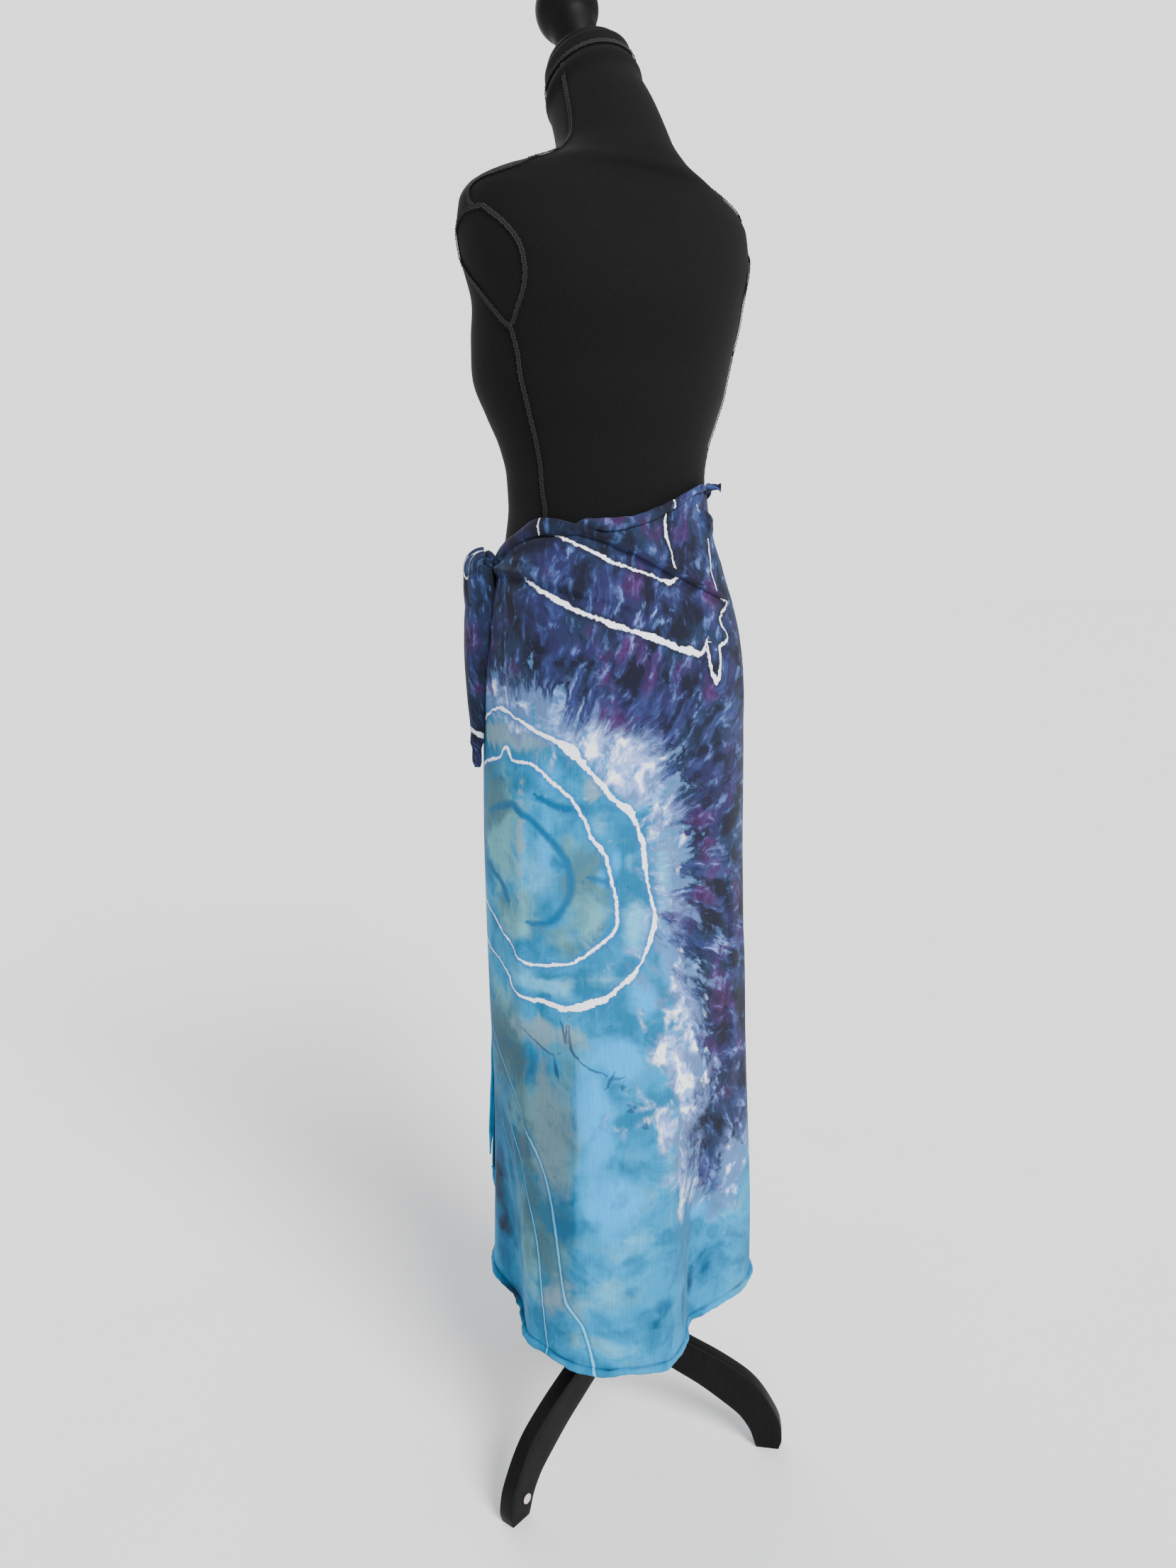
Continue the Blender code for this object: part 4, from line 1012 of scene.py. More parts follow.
# %% The plug in the first leg
PLUG_REACH = 0.1830
PLUG_HEIGHT = 0.0240
PLUG_RINGS = [
    (0.0030, 0.00150), (0.0046, 0.00140), (0.0056, 0.00095), (0.0060, 0.00030), (0.0059, 0.0),
]
turned_to = Matrix.Rotation(radians(LEG_TURNS[0]), 4, "Z")
spot = turned_to @ Vector((PLUG_REACH, LEG_THICK / 2 + 0.0003, PLUG_HEIGHT))
pressed = Matrix.Translation(spot + Vector(STAND)) @ turned_to @ Matrix.Rotation(-pi / 2, 4, "X")
plug = turned("leg_plug_pressed", "leg_plug", PLUG_RINGS, 40, pressed)
print("the plug sits", PLUG_HEIGHT * 1000, "mm above the floor")

# %% [markdown]
# ## Where the dye lies
# The cloth is resist-dyed: bands were tied off so that thin lines stayed white, ice-dyed in navy
# and purple above, and in cyan and teal round a tied centre at the left hip. A few paths over
# the cloth say where the white lines run and where night turns to light. Each point of the mesh
# stores its distance to them, and the shader roughens those distances with noise.

# %% The white lines
# each path is a row of (turn, height, half the line's width in millimetres)
WHITE_LINES = (
    # the tied ring round the left hip, and the thinner one within it
    ((-50, 0.650, 1.4), (-30, 0.668, 1.2), (-13, 0.658, 0.9), (-3, 0.653, 0.8), (5, 0.641, 0.9),
     (8, 0.627, 1.1), (15, 0.622, 1.4), (25, 0.620, 2.6), (34, 0.617, 4.4), (42, 0.623, 4.2),
     (51, 0.630, 3.6), (56, 0.641, 1.8), (62, 0.653, 3.0), (68, 0.672, 1.5), (71, 0.689, 2.6),
     (74, 0.712, 2.2), (72, 0.740, 1.2), (70, 0.766, 2.4), (68.5, 0.797, 3.4), (65.5, 0.817, 2.0),
     (61.5, 0.835, 5.0), (55.5, 0.845, 1.9), (51.5, 0.858, 4.6), (46, 0.873, 1.8),
     (42, 0.884, 3.6), (37, 0.899, 4.8), (31, 0.908, 1.8), (22, 0.917, 2.3), (13.5, 0.929, 1.3),
     (4, 0.937, 1.8), (-5.5, 0.932, 1.2), (-22, 0.910, 1.5), (-44, 0.868, 1.2)),
    ((-34, 0.722, 1.0), (-10, 0.705, 0.9), (-2, 0.694, 1.0), (9.5, 0.676, 0.9), (13, 0.666, 1.1),
     (19.5, 0.661, 1.4), (29.5, 0.664, 1.6), (37.5, 0.669, 1.7), (42, 0.676, 1.2), (48, 0.687, 1.8),
     (55, 0.702, 1.4), (56.5, 0.712, 2.0), (56, 0.735, 1.5), (54.5, 0.758, 1.7), (51.5, 0.786, 1.5),
     (46, 0.804, 1.9), (42.5, 0.827, 1.6), (37, 0.848, 1.5), (28.5, 0.866, 1.9), (20.5, 0.881, 1.2),
     (11, 0.884, 1.5), (9, 0.889, 1.8), (7, 0.897, 1.6), (5, 0.893, 1.5), (2, 0.883, 1.0),
     (-6.5, 0.878, 1.4), (-26, 0.860, 1.0)),
    # along the over-folds
    ((22, 1.127, 0.9), (30, 1.118, 1.8), (38, 1.111, 1.3), (48, 1.101, 1.9), (56, 1.092, 1.2),
     (75, 1.081, 1.5), (90, 1.071, 2.2), (97, 1.078, 1.1)),
    ((17, 1.072, 1.4), (24, 1.062, 2.4), (39, 1.043, 2.9), (46, 1.037, 2.2), (54, 1.029, 3.2),
     (64, 1.023, 2.0), (70, 1.018, 3.0), (86, 1.006, 3.6), (90, 1.002, 2.2), (97, 1.000, 4.2),
     (104, 0.996, 3.0), (109, 1.008, 1.6)),
    ((109, 1.008, 1.6), (110, 0.980, 2.4), (114, 0.965, 3.4), (118, 0.986, 1.8), (119, 1.002, 2.4)),
    ((119, 1.002, 2.0), (127, 1.012, 1.2), (123, 1.032, 1.6), (134, 1.046, 1.0), (126, 1.056, 1.5)),
    ((126, 1.056, 1.2), (126, 1.082, 0.9), (134, 1.130, 1.2), (126, 1.150, 0.9)),
    ((96, 1.150, 0.9), (93, 1.128, 2.2), (95, 1.100, 1.2), (96, 1.078, 1.6)),
    # on the hidden front, as the dyer's folds repeat them
    ((204, 0.560, 3.0), (214, 0.500, 1.8), (232, 0.478, 4.0), (252, 0.500, 2.2), (262, 0.560, 3.4)),
    ((262, 0.560, 3.2), (258, 0.630, 1.8), (240, 0.672, 3.8), (218, 0.650, 2.0), (204, 0.560, 3.0)),
    ((218, 0.570, 1.2), (222, 0.532, 1.8), (236, 0.520, 1.2), (248, 0.548, 2.0), (246, 0.600, 1.4)),
    ((246, 0.600, 1.4), (236, 0.628, 1.9), (222, 0.612, 1.2), (218, 0.570, 1.4)),
    ((150, 1.060, 1.6), (166, 1.020, 2.8), (184, 1.006, 1.6), (206, 1.020, 3.0), (226, 1.008, 1.8)),
    ((172, 1.150, 1.2), (176, 1.100, 2.0), (174, 1.050, 1.2), (178, 1.006, 1.8)),
)
print(len(WHITE_LINES), "white lines are tied")

# %% Pale lines, dark arcs and thin strokes
PALE_LINES = (
    ((-20, 0.560, 0.8), (-4, 0.520, 1.0), (8, 0.486, 0.9), (18, 0.450, 1.1), (25, 0.410, 1.0),
     (29, 0.360, 1.3), (32, 0.310, 1.0), (35, 0.278, 1.4), (42, 0.252, 1.1), (47, 0.196, 1.2)),
    ((-16, 0.500, 0.7), (0, 0.446, 0.8), (12, 0.396, 0.7), (19, 0.340, 0.8), (22, 0.270, 0.7),
     (26, 0.200, 0.7)),
    ((-18, 0.440, 0.6), (-6, 0.386, 0.7), (2, 0.330, 0.6), (5, 0.280, 0.7), (10, 0.240, 0.6)),
    ((196, 0.440, 0.8), (214, 0.400, 1.1), (236, 0.388, 0.8), (258, 0.410, 1.0), (276, 0.460, 0.8)),
)
# dark arcs in the tied centre, and thin marks where the dye pooled in a fold
CORE_LINES = (
    ((-6, 0.822, 1.2), (4, 0.832, 2.0), (12, 0.836, 2.2), (22, 0.817, 1.4), (33, 0.791, 1.6),
     (38, 0.758, 1.8), (34.5, 0.730, 1.2), (28, 0.712, 1.4), (20, 0.707, 0.8)),
    ((-9, 0.757, 1.2), (-3, 0.750, 1.6), (4, 0.743, 1.8), (7, 0.728, 1.0)),
    ((24, 0.846, 1.0), (33, 0.838, 2.2), (41, 0.834, 1.4)),
    ((46, 0.760, 0.8), (54, 0.757, 1.2)),
    ((228, 0.600, 1.4), (236, 0.572, 1.8), (242, 0.590, 1.2)),
)
SMUDGE_LINES = (
    ((32.5, 0.602, 0.7), (33.5, 0.586, 1.3), (34, 0.574, 0.6)),
    ((35.5, 0.598, 0.5), (35.8, 0.580, 1.2), (37, 0.568, 1.6), (40, 0.562, 0.5)),
    ((40, 0.560, 0.5), (45, 0.552, 1.0), (50, 0.547, 0.5), (53, 0.541, 1.5), (57, 0.543, 0.4)),
    ((54, 0.549, 0.4), (53, 0.540, 1.4), (51, 0.532, 0.5)),
    ((15, 0.584, 0.5), (22, 0.570, 0.8), (28, 0.563, 0.5)),
    ((29, 0.556, 0.8), (29.6, 0.545, 2.0), (30, 0.538, 0.6)),
)
LINES = {"mark": WHITE_LINES, "pale": PALE_LINES, "core": CORE_LINES, "stroke": SMUDGE_LINES}
print("lines of", len(LINES), "kinds run over the cloth")

# %% Where night meets light
NIGHT_EDGE = (
    (-78, 0.950), (-40, 0.962), (-5, 0.966), (8, 0.968), (20, 0.954), (33, 0.942), (42, 0.932),
    (56, 0.917), (70, 0.902), (79, 0.882), (84, 0.850), (88, 0.822), (90, 0.771), (87.5, 0.728),
    (86, 0.692), (88, 0.651), (94, 0.605), (97, 0.560), (97.5, 0.528), (93.5, 0.490), (95, 0.440),
    (103, 0.402), (112, 0.384), (124, 0.390), (136, 0.408), (148, 0.430), (162, 0.500),
    (176, 0.640), (192, 0.760), (214, 0.840), (240, 0.872), (262, 0.860), (282, 0.870),
    (300, 0.900), (315, 0.925),
)
print("the two grounds meet along", len(NIGHT_EDGE), "places")

# %% [markdown]
# ## Patches of colour
# Ice dye melts into pools, and each pool is another tint. A patch names where a tint lies, and
# fades out evenly. The shader breaks its edge up with noise, so a few patches give a whole ground.

# %% The patches
# each is (turn, height, half its width, half its height, strength)
PATCHES = {
    "purple": (
        (52, 1.15, 0.06, 0.03, 0.9), (70, 1.07, 0.03, 0.024, 1.0), (46, 1.02, 0.03, 0.03, 0.5),
        (66, 0.985, 0.06, 0.035, 0.9), (92, 0.972, 0.03, 0.05, 0.6), (56, 0.925, 0.03, 0.03, 0.8),
        (108, 0.955, 0.02, 0.05, 0.8), (101, 0.8, 0.03, 0.05, 0.9), (107, 0.725, 0.04, 0.05, 0.9),
        (113, 0.6, 0.04, 0.06, 1.0), (105, 0.54, 0.03, 0.04, 0.9), (130, 0.7, 0.03, 0.07, 0.7),
        (128, 0.5, 0.04, 0.05, 0.6), (0, 1.116, 0.03, 0.02, 0.9), (14, 0.985, 0.03, 0.03, 0.6),
        (-10, 0.96, 0.03, 0.04, 0.6), (96, 1.125, 0.07, 0.03, 0.8), (126, 1.06, 0.04, 0.04, 0.8),
        (160, 0.9, 0.05, 0.08, 0.7), (176, 1.08, 0.05, 0.05, 0.8), (205, 0.96, 0.05, 0.06, 0.7),
        (240, 1.06, 0.06, 0.05, 0.8), (262, 0.95, 0.04, 0.05, 0.7), (290, 1.04, 0.05, 0.05, 0.8),
        (150, 0.62, 0.04, 0.07, 0.6), (-50, 1.02, 0.05, 0.05, 0.6), (-22, 0.95, 0.03, 0.06, 0.5),
        (118, 0.86, 0.04, 0.05, 0.5), (-13, 1.01, 0.03, 0.03, 1.0), (-14, 1.062, 0.02, 0.016, 0.7),
    ),
    "cloud": (
        (51, 0.905, 0.055, 0.022, 1.0), (65, 0.886, 0.045, 0.026, 1.0),
        (76, 0.838, 0.025, 0.036, 0.9), (24, 0.944, 0.07, 0.022, 0.5), (88, 0.7, 0.016, 0.08, 0.35),
        (84, 0.6, 0.035, 0.042, 1.0), (88, 0.52, 0.03, 0.06, 1.0), (114, 0.505, 0.045, 0.04, 0.9),
        (106, 0.425, 0.02, 0.04, 0.6), (132, 0.43, 0.03, 0.03, 0.7), (8, 1.097, 0.05, 0.016, 0.7),
        (102, 0.99, 0.03, 0.02, 0.6), (44, 1.095, 0.06, 0.015, 0.5), (76, 1.04, 0.08, 0.02, 0.8),
        (100, 0.93, 0.02, 0.05, 0.5), (112, 0.66, 0.03, 0.03, 0.6), (178, 0.64, 0.05, 0.06, 0.7),
        (214, 0.82, 0.07, 0.04, 0.8), (262, 0.84, 0.08, 0.03, 0.7), (158, 0.8, 0.05, 0.06, 0.3),
        (300, 0.9, 0.05, 0.04, 0.6), (-20, 1.08, 0.04, 0.03, 0.3), (140, 1.08, 0.04, 0.06, 0.5),
    ),
    "white": (
        (67, 0.503, 0.036, 0.036, 0.7), (76, 0.474, 0.026, 0.04, 0.8), (86.5, 0.4, 0.015, 0.065, 1.0),
        (87, 0.53, 0.02, 0.035, 1.0), (70, 0.868, 0.04, 0.018, 0.8), (80, 0.59, 0.03, 0.03, 0.9),
        (77, 0.815, 0.01, 0.022, 1.0), (186, 0.56, 0.03, 0.08, 0.8), (276, 0.78, 0.04, 0.06, 0.7),
        (292, 0.36, 0.02, 0.06, 0.6), (156, 0.33, 0.02, 0.06, 0.6),
    ),
    "pale": (
        (65, 0.715, 0.026, 0.044, 1.2), (50, 0.65, 0.05, 0.016, 1.0), (24, 0.762, 0.03, 0.055, 0.7),
        (48, 0.745, 0.012, 0.04, 0.6), (34, 0.895, 0.02, 0.016, 0.7), (62, 0.778, 0.012, 0.024, 0.9),
        (26, 0.64, 0.05, 0.015, 1.0), (80, 0.76, 0.018, 0.06, 1.2), (62, 0.35, 0.05, 0.03, 0.6),
        (46, 0.29, 0.04, 0.05, 0.5), (124, 0.325, 0.04, 0.025, 0.6), (49, 0.825, 0.015, 0.022, 0.8),
        (60, 0.8, 0.012, 0.02, 0.7), (78, 0.43, 0.022, 0.04, 0.8), (100, 0.56, 0.01, 0.02, 0.4),
        (56, 0.23, 0.06, 0.02, 0.5), (204, 0.62, 0.03, 0.06, 0.7), (260, 0.7, 0.05, 0.06, 0.8),
        (180, 0.42, 0.05, 0.06, 0.7), (250, 0.46, 0.05, 0.04, 0.8), (-60, 0.6, 0.05, 0.1, 0.7),
        (224, 0.3, 0.05, 0.05, 0.6),
    ),
    "sand": (
        (24, 0.586, 0.06, 0.022, 1.0), (13, 0.912, 0.07, 0.02, 1.0), (-4, 0.908, 0.04, 0.02, 0.9),
        (46, 0.862, 0.02, 0.022, 0.8), (16, 0.8, 0.007, 0.09, 0.9), (28, 0.47, 0.05, 0.11, 0.8),
        (34, 0.28, 0.05, 0.05, 0.6), (2, 0.62, 0.04, 0.04, 0.6), (45, 0.7, 0.02, 0.05, 0.5),
        (36, 0.645, 0.03, 0.012, 0.6), (250, 0.32, 0.1, 0.1, 0.7), (210, 0.52, 0.03, 0.05, 0.5),
    ),
    "teal": (
        (0, 0.8, 0.05, 0.1, 1.0), (12, 0.71, 0.05, 0.045, 0.9), (44, 0.74, 0.03, 0.07, 1.0),
        (36, 0.69, 0.045, 0.025, 0.8), (18, 0.47, 0.07, 0.1, 1.0), (-2, 0.56, 0.06, 0.09, 0.9),
        (18, 0.33, 0.07, 0.1, 0.9), (-34, 0.6, 0.08, 0.2, 0.7), (36, 0.8, 0.012, 0.04, 0.7),
        (10, 0.905, 0.08, 0.03, 0.7), (40, 0.24, 0.05, 0.03, 0.5), (60, 0.395, 0.04, 0.03, 0.4),
        (232, 0.58, 0.07, 0.07, 0.9), (204, 0.34, 0.08, 0.08, 0.8), (290, 0.62, 0.05, 0.1, 0.7),
        (170, 0.35, 0.05, 0.05, 0.5),
    ),
    "deep": (
        (-28, 0.365, 0.03, 0.08, 1.0), (-24, 0.275, 0.03, 0.06, 1.0), (-20, 0.208, 0.05, 0.024, 1.0),
        (0, 0.862, 0.03, 0.022, 0.6), (18, 0.858, 0.014, 0.026, 0.7), (37, 0.836, 0.02, 0.014, 0.8),
        (73, 0.275, 0.018, 0.015, 1.0), (69, 0.256, 0.022, 0.01, 0.9), (61, 0.301, 0.014, 0.01, 0.8),
        (118, 0.265, 0.03, 0.04, 0.8), (107, 0.262, 0.02, 0.04, 0.8), (96, 0.31, 0.014, 0.05, 0.6),
        (-14, 0.32, 0.02, 0.03, 0.6), (-4, 0.44, 0.02, 0.02, 0.5), (88, 0.25, 0.01, 0.05, 0.7),
        (74, 0.36, 0.012, 0.01, 0.5), (132, 0.3, 0.03, 0.03, 0.5), (214, 0.3, 0.05, 0.05, 0.6),
        (292, 0.48, 0.04, 0.1, 0.7), (150, 0.29, 0.06, 0.05, 0.4),
    ),
    "bright": (
        (28, 0.872, 0.02, 0.02, 1.0), (27, 0.8, 0.012, 0.07, 0.7), (56, 0.778, 0.014, 0.03, 1.0),
        (50, 0.762, 0.012, 0.02, 0.9), (78, 0.864, 0.01, 0.01, 1.0), (66, 0.625, 0.03, 0.034, 1.0),
        (57, 0.565, 0.035, 0.04, 1.0), (46, 0.49, 0.03, 0.07, 1.0), (52, 0.4, 0.04, 0.05, 0.9),
        (80, 0.67, 0.014, 0.05, 0.9), (50, 0.885, 0.012, 0.01, 0.6), (30, 0.9, 0.01, 0.008, 0.7),
        (110, 0.345, 0.04, 0.02, 0.9), (26, 0.74, 0.012, 0.03, 0.6), (104, 0.48, 0.01, 0.02, 0.9),
        (236, 0.575, 0.04, 0.05, 0.9), (170, 0.4, 0.06, 0.08, 0.8), (236, 0.74, 0.06, 0.05, 0.6),
        (290, 0.7, 0.05, 0.1, 0.8),
    ),
    "smudge": (
        (60.5, 0.505, 0.008, 0.008, 0.8), (65, 0.487, 0.009, 0.006, 0.7),
        (57.5, 0.533, 0.006, 0.005, 0.7), (72, 0.868, 0.006, 0.004, 0.9),
        (52, 0.902, 0.005, 0.007, 0.9), (60, 0.903, 0.005, 0.005, 0.8), (88, 0.47, 0.004, 0.016, 0.8),
        (90, 0.5, 0.006, 0.02, 0.7), (80, 0.576, 0.008, 0.01, 0.6), (46, 0.912, 0.004, 0.006, 0.8),
    ),
}
print(sum(map(len, PATCHES.values())), "patches of", len(PATCHES), "tints lie on the cloth")

# %% Distances and strengths at each point
FAR = 0.5
NO_LINE = -0.02
LINE_REACH = 0.0100


def line_fields(lines, turn, height):
    """Signed distance to the nearest line, and its half width there, below 0 far from any."""
    best = np.full(turn.shape, FAR)
    wide = np.full(turn.shape, 0.002)
    for line in lines:
        path = np.array(line)
        signed, along = beside_path(smooth_path(path[:, :2]), turn, height)
        steps = np.hypot(np.diff(path[:, 0]) * METRES_A_DEGREE, np.diff(path[:, 1]))
        reached = np.concatenate([[0.0], np.cumsum(steps)]) / steps.sum()
        nearer = np.abs(signed) < np.abs(best)
        best = np.where(nearer, signed, best)
        wide = np.where(nearer, np.interp(along, reached, path[:, 2] / 1000), wide)
    return best, np.where(np.abs(best) > LINE_REACH, NO_LINE, wide)


def patch_field(patches, turn, height):
    """How strongly the nearest patch of one tint shows at each place."""
    total = np.zeros(turn.shape)
    for round_to, level, wide, tall, strength in patches:
        x = (turn - round_to) * METRES_A_DEGREE / wide
        y = (height - level) / tall
        total = np.maximum(total, strength * np.exp(-(x * x + y * y)))
    return total


def night_field(turn, height):
    """Metres into the night ground, or minus metres into the light one."""
    signed, _ = beside_path(smooth_path(NIGHT_EDGE, 4), turn, height)
    return np.clip(signed, -0.30, 0.30)


CENTRE = (18.0, 0.775)
STREAKS_ROUND = 9.0
STREAKS_OUT = 11


def streak_places(turn, height):
    """Places in a space where noise runs out into streaks from the tied centre."""
    x = (turn - CENTRE[0]) * METRES_A_DEGREE
    y = height - CENTRE[1]
    reach = np.hypot(x, y) + 1e-4
    ring = STREAKS_ROUND * smooth_step(0.0, 0.10, reach)
    return np.stack([ring * x / reach, ring * y / reach, reach * STREAKS_OUT], axis=-1)


print("the streaks run out from", CENTRE)

# %% Store the dye's places on every dyed piece
DEEP_IN_NIGHT = 0.12


def dye(piece, turn, height, marks=None, all_night=False, dim=0.0):
    """Everything that the dye's shader reads, stored at the points of one piece."""
    for name, lines in LINES.items():
        line, line_wide = line_fields(lines, turn, height)
        if name == "mark" and marks is not None:
            line, line_wide = marks
        store(piece, name + "_line", line)
        store(piece, name + "_wide", line_wide)
    night = np.full(turn.shape, DEEP_IN_NIGHT) if all_night else night_field(turn, height)
    store(piece, "night", night)
    for name, patches in PATCHES.items():
        store(piece, name, patch_field(patches, turn, height))
    # painted shade: below about 0.6 m the cloth left of turn 38 is darkened where the fold's face
    # turns away from the light, less so towards the hem; a piece's dim value darkens it all over
    # through the same field
    shade = smooth_step(39.6, 37.6, turn) * smooth_step(0.610, 0.545, height)
    store(piece, "shade", np.maximum(dim, shade * (0.35 + 0.65 * smooth_step(0.27, 0.38, height))))
    store(piece, "streak", streak_places(turn, height))
    flat = np.stack([turn * METRES_A_DEGREE, height, 0 * height], axis=-1)
    store(piece, "flat", flat)


# pieces that are night all over, and pieces that no white line crosses
ALL_NIGHT = ("tail_end", "tail_front_end", "knot_tied")
UNMARKED = ALL_NIGHT + ("hip_puff_soft", "edge_tip_twisted", "waist_roll_front_curled")
for name, (turn, height) in WORN.items():
    marks = None
    quiet = np.zeros(turn.shape)
    if name in UNMARKED:
        marks = (quiet + FAR, quiet + NO_LINE)
    if name == "waist_roll_left_curled":
        marks = ((turn - 20.5) * METRES_A_DEGREE, quiet + 0.0011)
    if name == "waist_roll_back_curled":
        marks = ((turn - 101) * METRES_A_DEGREE, quiet + 0.0016)
    if name == "tail_end":
        band = height - 0.908 + 0.0009 * (turn + 14)
        loop = np.abs(np.hypot((turn + 12.5) * METRES_A_DEGREE * 1.1, height - 1.086) - 0.009)
        in_loop = loop < np.abs(band)
        marks = (np.where(in_loop, loop, band), np.where(in_loop, 0.0012, 0.0034))
    dim = 0.75 if name in ALL_NIGHT or name == "waist_roll_left_curled" else 0.0
    dye(bpy.data.objects[name], turn, height, marks, name in ALL_NIGHT, dim)
print("dyed", len(WORN), "pieces")

# %% [markdown]
# ## Writing shader maths
# A shader is a sum like any other, so it is easier to read as an expression. The small class
# here wraps a socket, and each operator adds one Math node. Any other node comes from one
# method, which takes the node's type, its settings, and what goes into its sockets.

# %% Sockets that can be added and multiplied
class Wire:
    """An output socket that can be added, subtracted and multiplied."""

    def __init__(self, surface, socket):
        self.surface = surface
        self.socket = socket

    def math(self, operation, first, second=0.0, clamp=False):
        settings = {"operation": operation, "use_clamp": clamp}
        return self.surface.add("ShaderNodeMath", settings, {0: first, 1: second})

    def __add__(self, other):
        return self.math("ADD", self, other)

    __radd__ = __add__

    def __sub__(self, other):
        return self.math("SUBTRACT", self, other)

    def __rsub__(self, other):
        return self.math("SUBTRACT", other, self)

    def __mul__(self, other):
        return self.math("MULTIPLY", self, other)

    __rmul__ = __mul__

    def __abs__(self):
        return self.math("ABSOLUTE", self)

    def clamped(self):
        return self.math("ADD", self, 0.0, True)

    def step(self, low, high):
        """0 at low, 1 at high and smooth between, where low may be the larger."""
        settings = {"interpolation_type": "SMOOTHSTEP"}
        values = {"Value": self, "From Min": low, "From Max": high}
        return self.surface.add("ShaderNodeMapRange", settings, values)


class Surface:
    """The nodes of a material, or of the world, with the shader that it starts with."""

    def __init__(self, owner, shader="Principled BSDF"):
        owner.use_nodes = True
        self.owner = owner
        self.nodes = owner.node_tree.nodes
        self.links = owner.node_tree.links
        self.shader = self.nodes[shader]

    def add(self, kind, settings=None, values=None, out=0):
        """A node of any kind: its settings, what goes into its sockets, and which comes out."""
        node = self.nodes.new(kind)
        for key, value in (settings or {}).items():
            setattr(node, key, value)
        self.feed(node, values or {})
        return Wire(self, node.outputs[out])

    def feed(self, node, values):
        """A link for each value that is a wire, and the plain value for any other."""
        for key, value in values.items():
            if isinstance(value, Wire):
                self.links.new(value.socket, node.inputs[key])
            else:
                node.inputs[key].default_value = value

    def finish(self, values, pieces):
        """What goes into the shader, and the names of the pieces that wear the finish."""
        self.feed(self.shader, values)
        for name in pieces:
            bpy.data.objects[name].data.materials.append(self.owner)

    def field(self, name, vector=False):
        """A number, or a place, that the mesh stores at each point."""
        return self.add("ShaderNodeAttribute", {"attribute_name": name}, out=1 if vector else 2)

    def place(self):
        """Places on the piece, in metres."""
        return self.add("ShaderNodeTexCoord", out=3)

    def stretched(self, place, *scale):
        return self.add("ShaderNodeMapping", {}, {"Vector": place, "Scale": scale})

    def ribs(self, place, direction, scale, distortion):
        """The even ribs of a knit."""
        settings = {"wave_type": "BANDS", "bands_direction": direction}
        values = {"Vector": place, "Scale": scale, "Distortion": distortion, "Detail": 2.0}
        return self.add("ShaderNodeTexWave", settings, values)

    def mix(self, share, first, second, blend="MIX"):
        """A colour between two, by a share."""
        settings = {"data_type": "RGBA", "blend_type": blend}
        return self.add("ShaderNodeMix", settings, {0: share, 6: first, 7: second}, 2)

    def noise(self, place, scale, detail=4.0, roughness=0.55, out=0):
        values = {"Vector": place, "Scale": scale, "Detail": detail, "Roughness": roughness}
        return self.add("ShaderNodeTexNoise", {}, values, out)

    def shift(self, place, colour, size):
        """A place moved about by the three channels of a noise's colour."""
        kind = "ShaderNodeVectorMath"
        centred = self.add(kind, {"operation": "SUBTRACT"}, {0: colour, 1: (0.5, 0.5, 0.5)})
        scaled = self.add(kind, {"operation": "SCALE"}, {0: centred, "Scale": size})
        return self.add(kind, {"operation": "ADD"}, {0: place, 1: scaled})

    def bump(self, height, strength, distance, normal=None):
        values = {"Height": height, "Strength": strength, "Distance": distance}
        if normal is not None:
            values["Normal"] = normal
        return self.add("ShaderNodeBump", {}, values)


def seen(red, green, blue):
    """A colour as measured on a picture, 0 to 255, turned to linear light."""
    share = np.array((red, green, blue)) / 255
    linear = np.where(share < 0.04045, share / 12.92, ((share + 0.055) / 1.055) ** 2.4)
    return (*[float(value) for value in linear], 1.0)


print("white turns to", [round(value, 2) for value in seen(235, 235, 235)[:3]])

# %% [markdown]
# ## The dyed jersey
# Dye spreads along the cloth in feathery streaks, so most of the noise is read in a space that
# runs out from the tied centre. First comes each ground by itself, then the soft cloud where
# they meet, and last the white lines, with the darker rim that dye leaves where it stops.

# %% The night ground
dyed = Surface(bpy.data.materials.new("jersey_dyed"))
flat = dyed.field("flat", True)
streak = dyed.field("streak", True)
wander = dyed.noise(flat, 16.0, 3.0, 0.5, out=1)
flat_bent = dyed.shift(flat, wander, 0.050)
streak_bent = dyed.shift(streak, wander, 1.1)
feather = dyed.noise(streak_bent, 1.3, 4.0, 0.55)
feather_fine = dyed.noise(streak_bent, 3.4, 4.0, 0.60)
pools = dyed.noise(flat_bent, 10.0, 4.0, 0.52)
blotch = dyed.noise(flat_bent, 26.0, 4.0, 0.55)
blotch_fine = dyed.noise(flat_bent, 66.0, 4.0, 0.60)

NIGHT_DEEP = seen(18, 20, 36)
NIGHT_TEAL = seen(25, 40, 64)
NIGHT_MID = seen(33, 34, 72)
NIGHT_SLATE = seen(46, 59, 108)
NIGHT_PALE = seen(94, 124, 186)
PURPLE = seen(50, 15, 54)
PURPLE_SOFT = seen(70, 32, 86)
LILAC = seen(130, 158, 220)
FRINGE_GREY = seen(84, 108, 152)
BARE = seen(240, 242, 248)

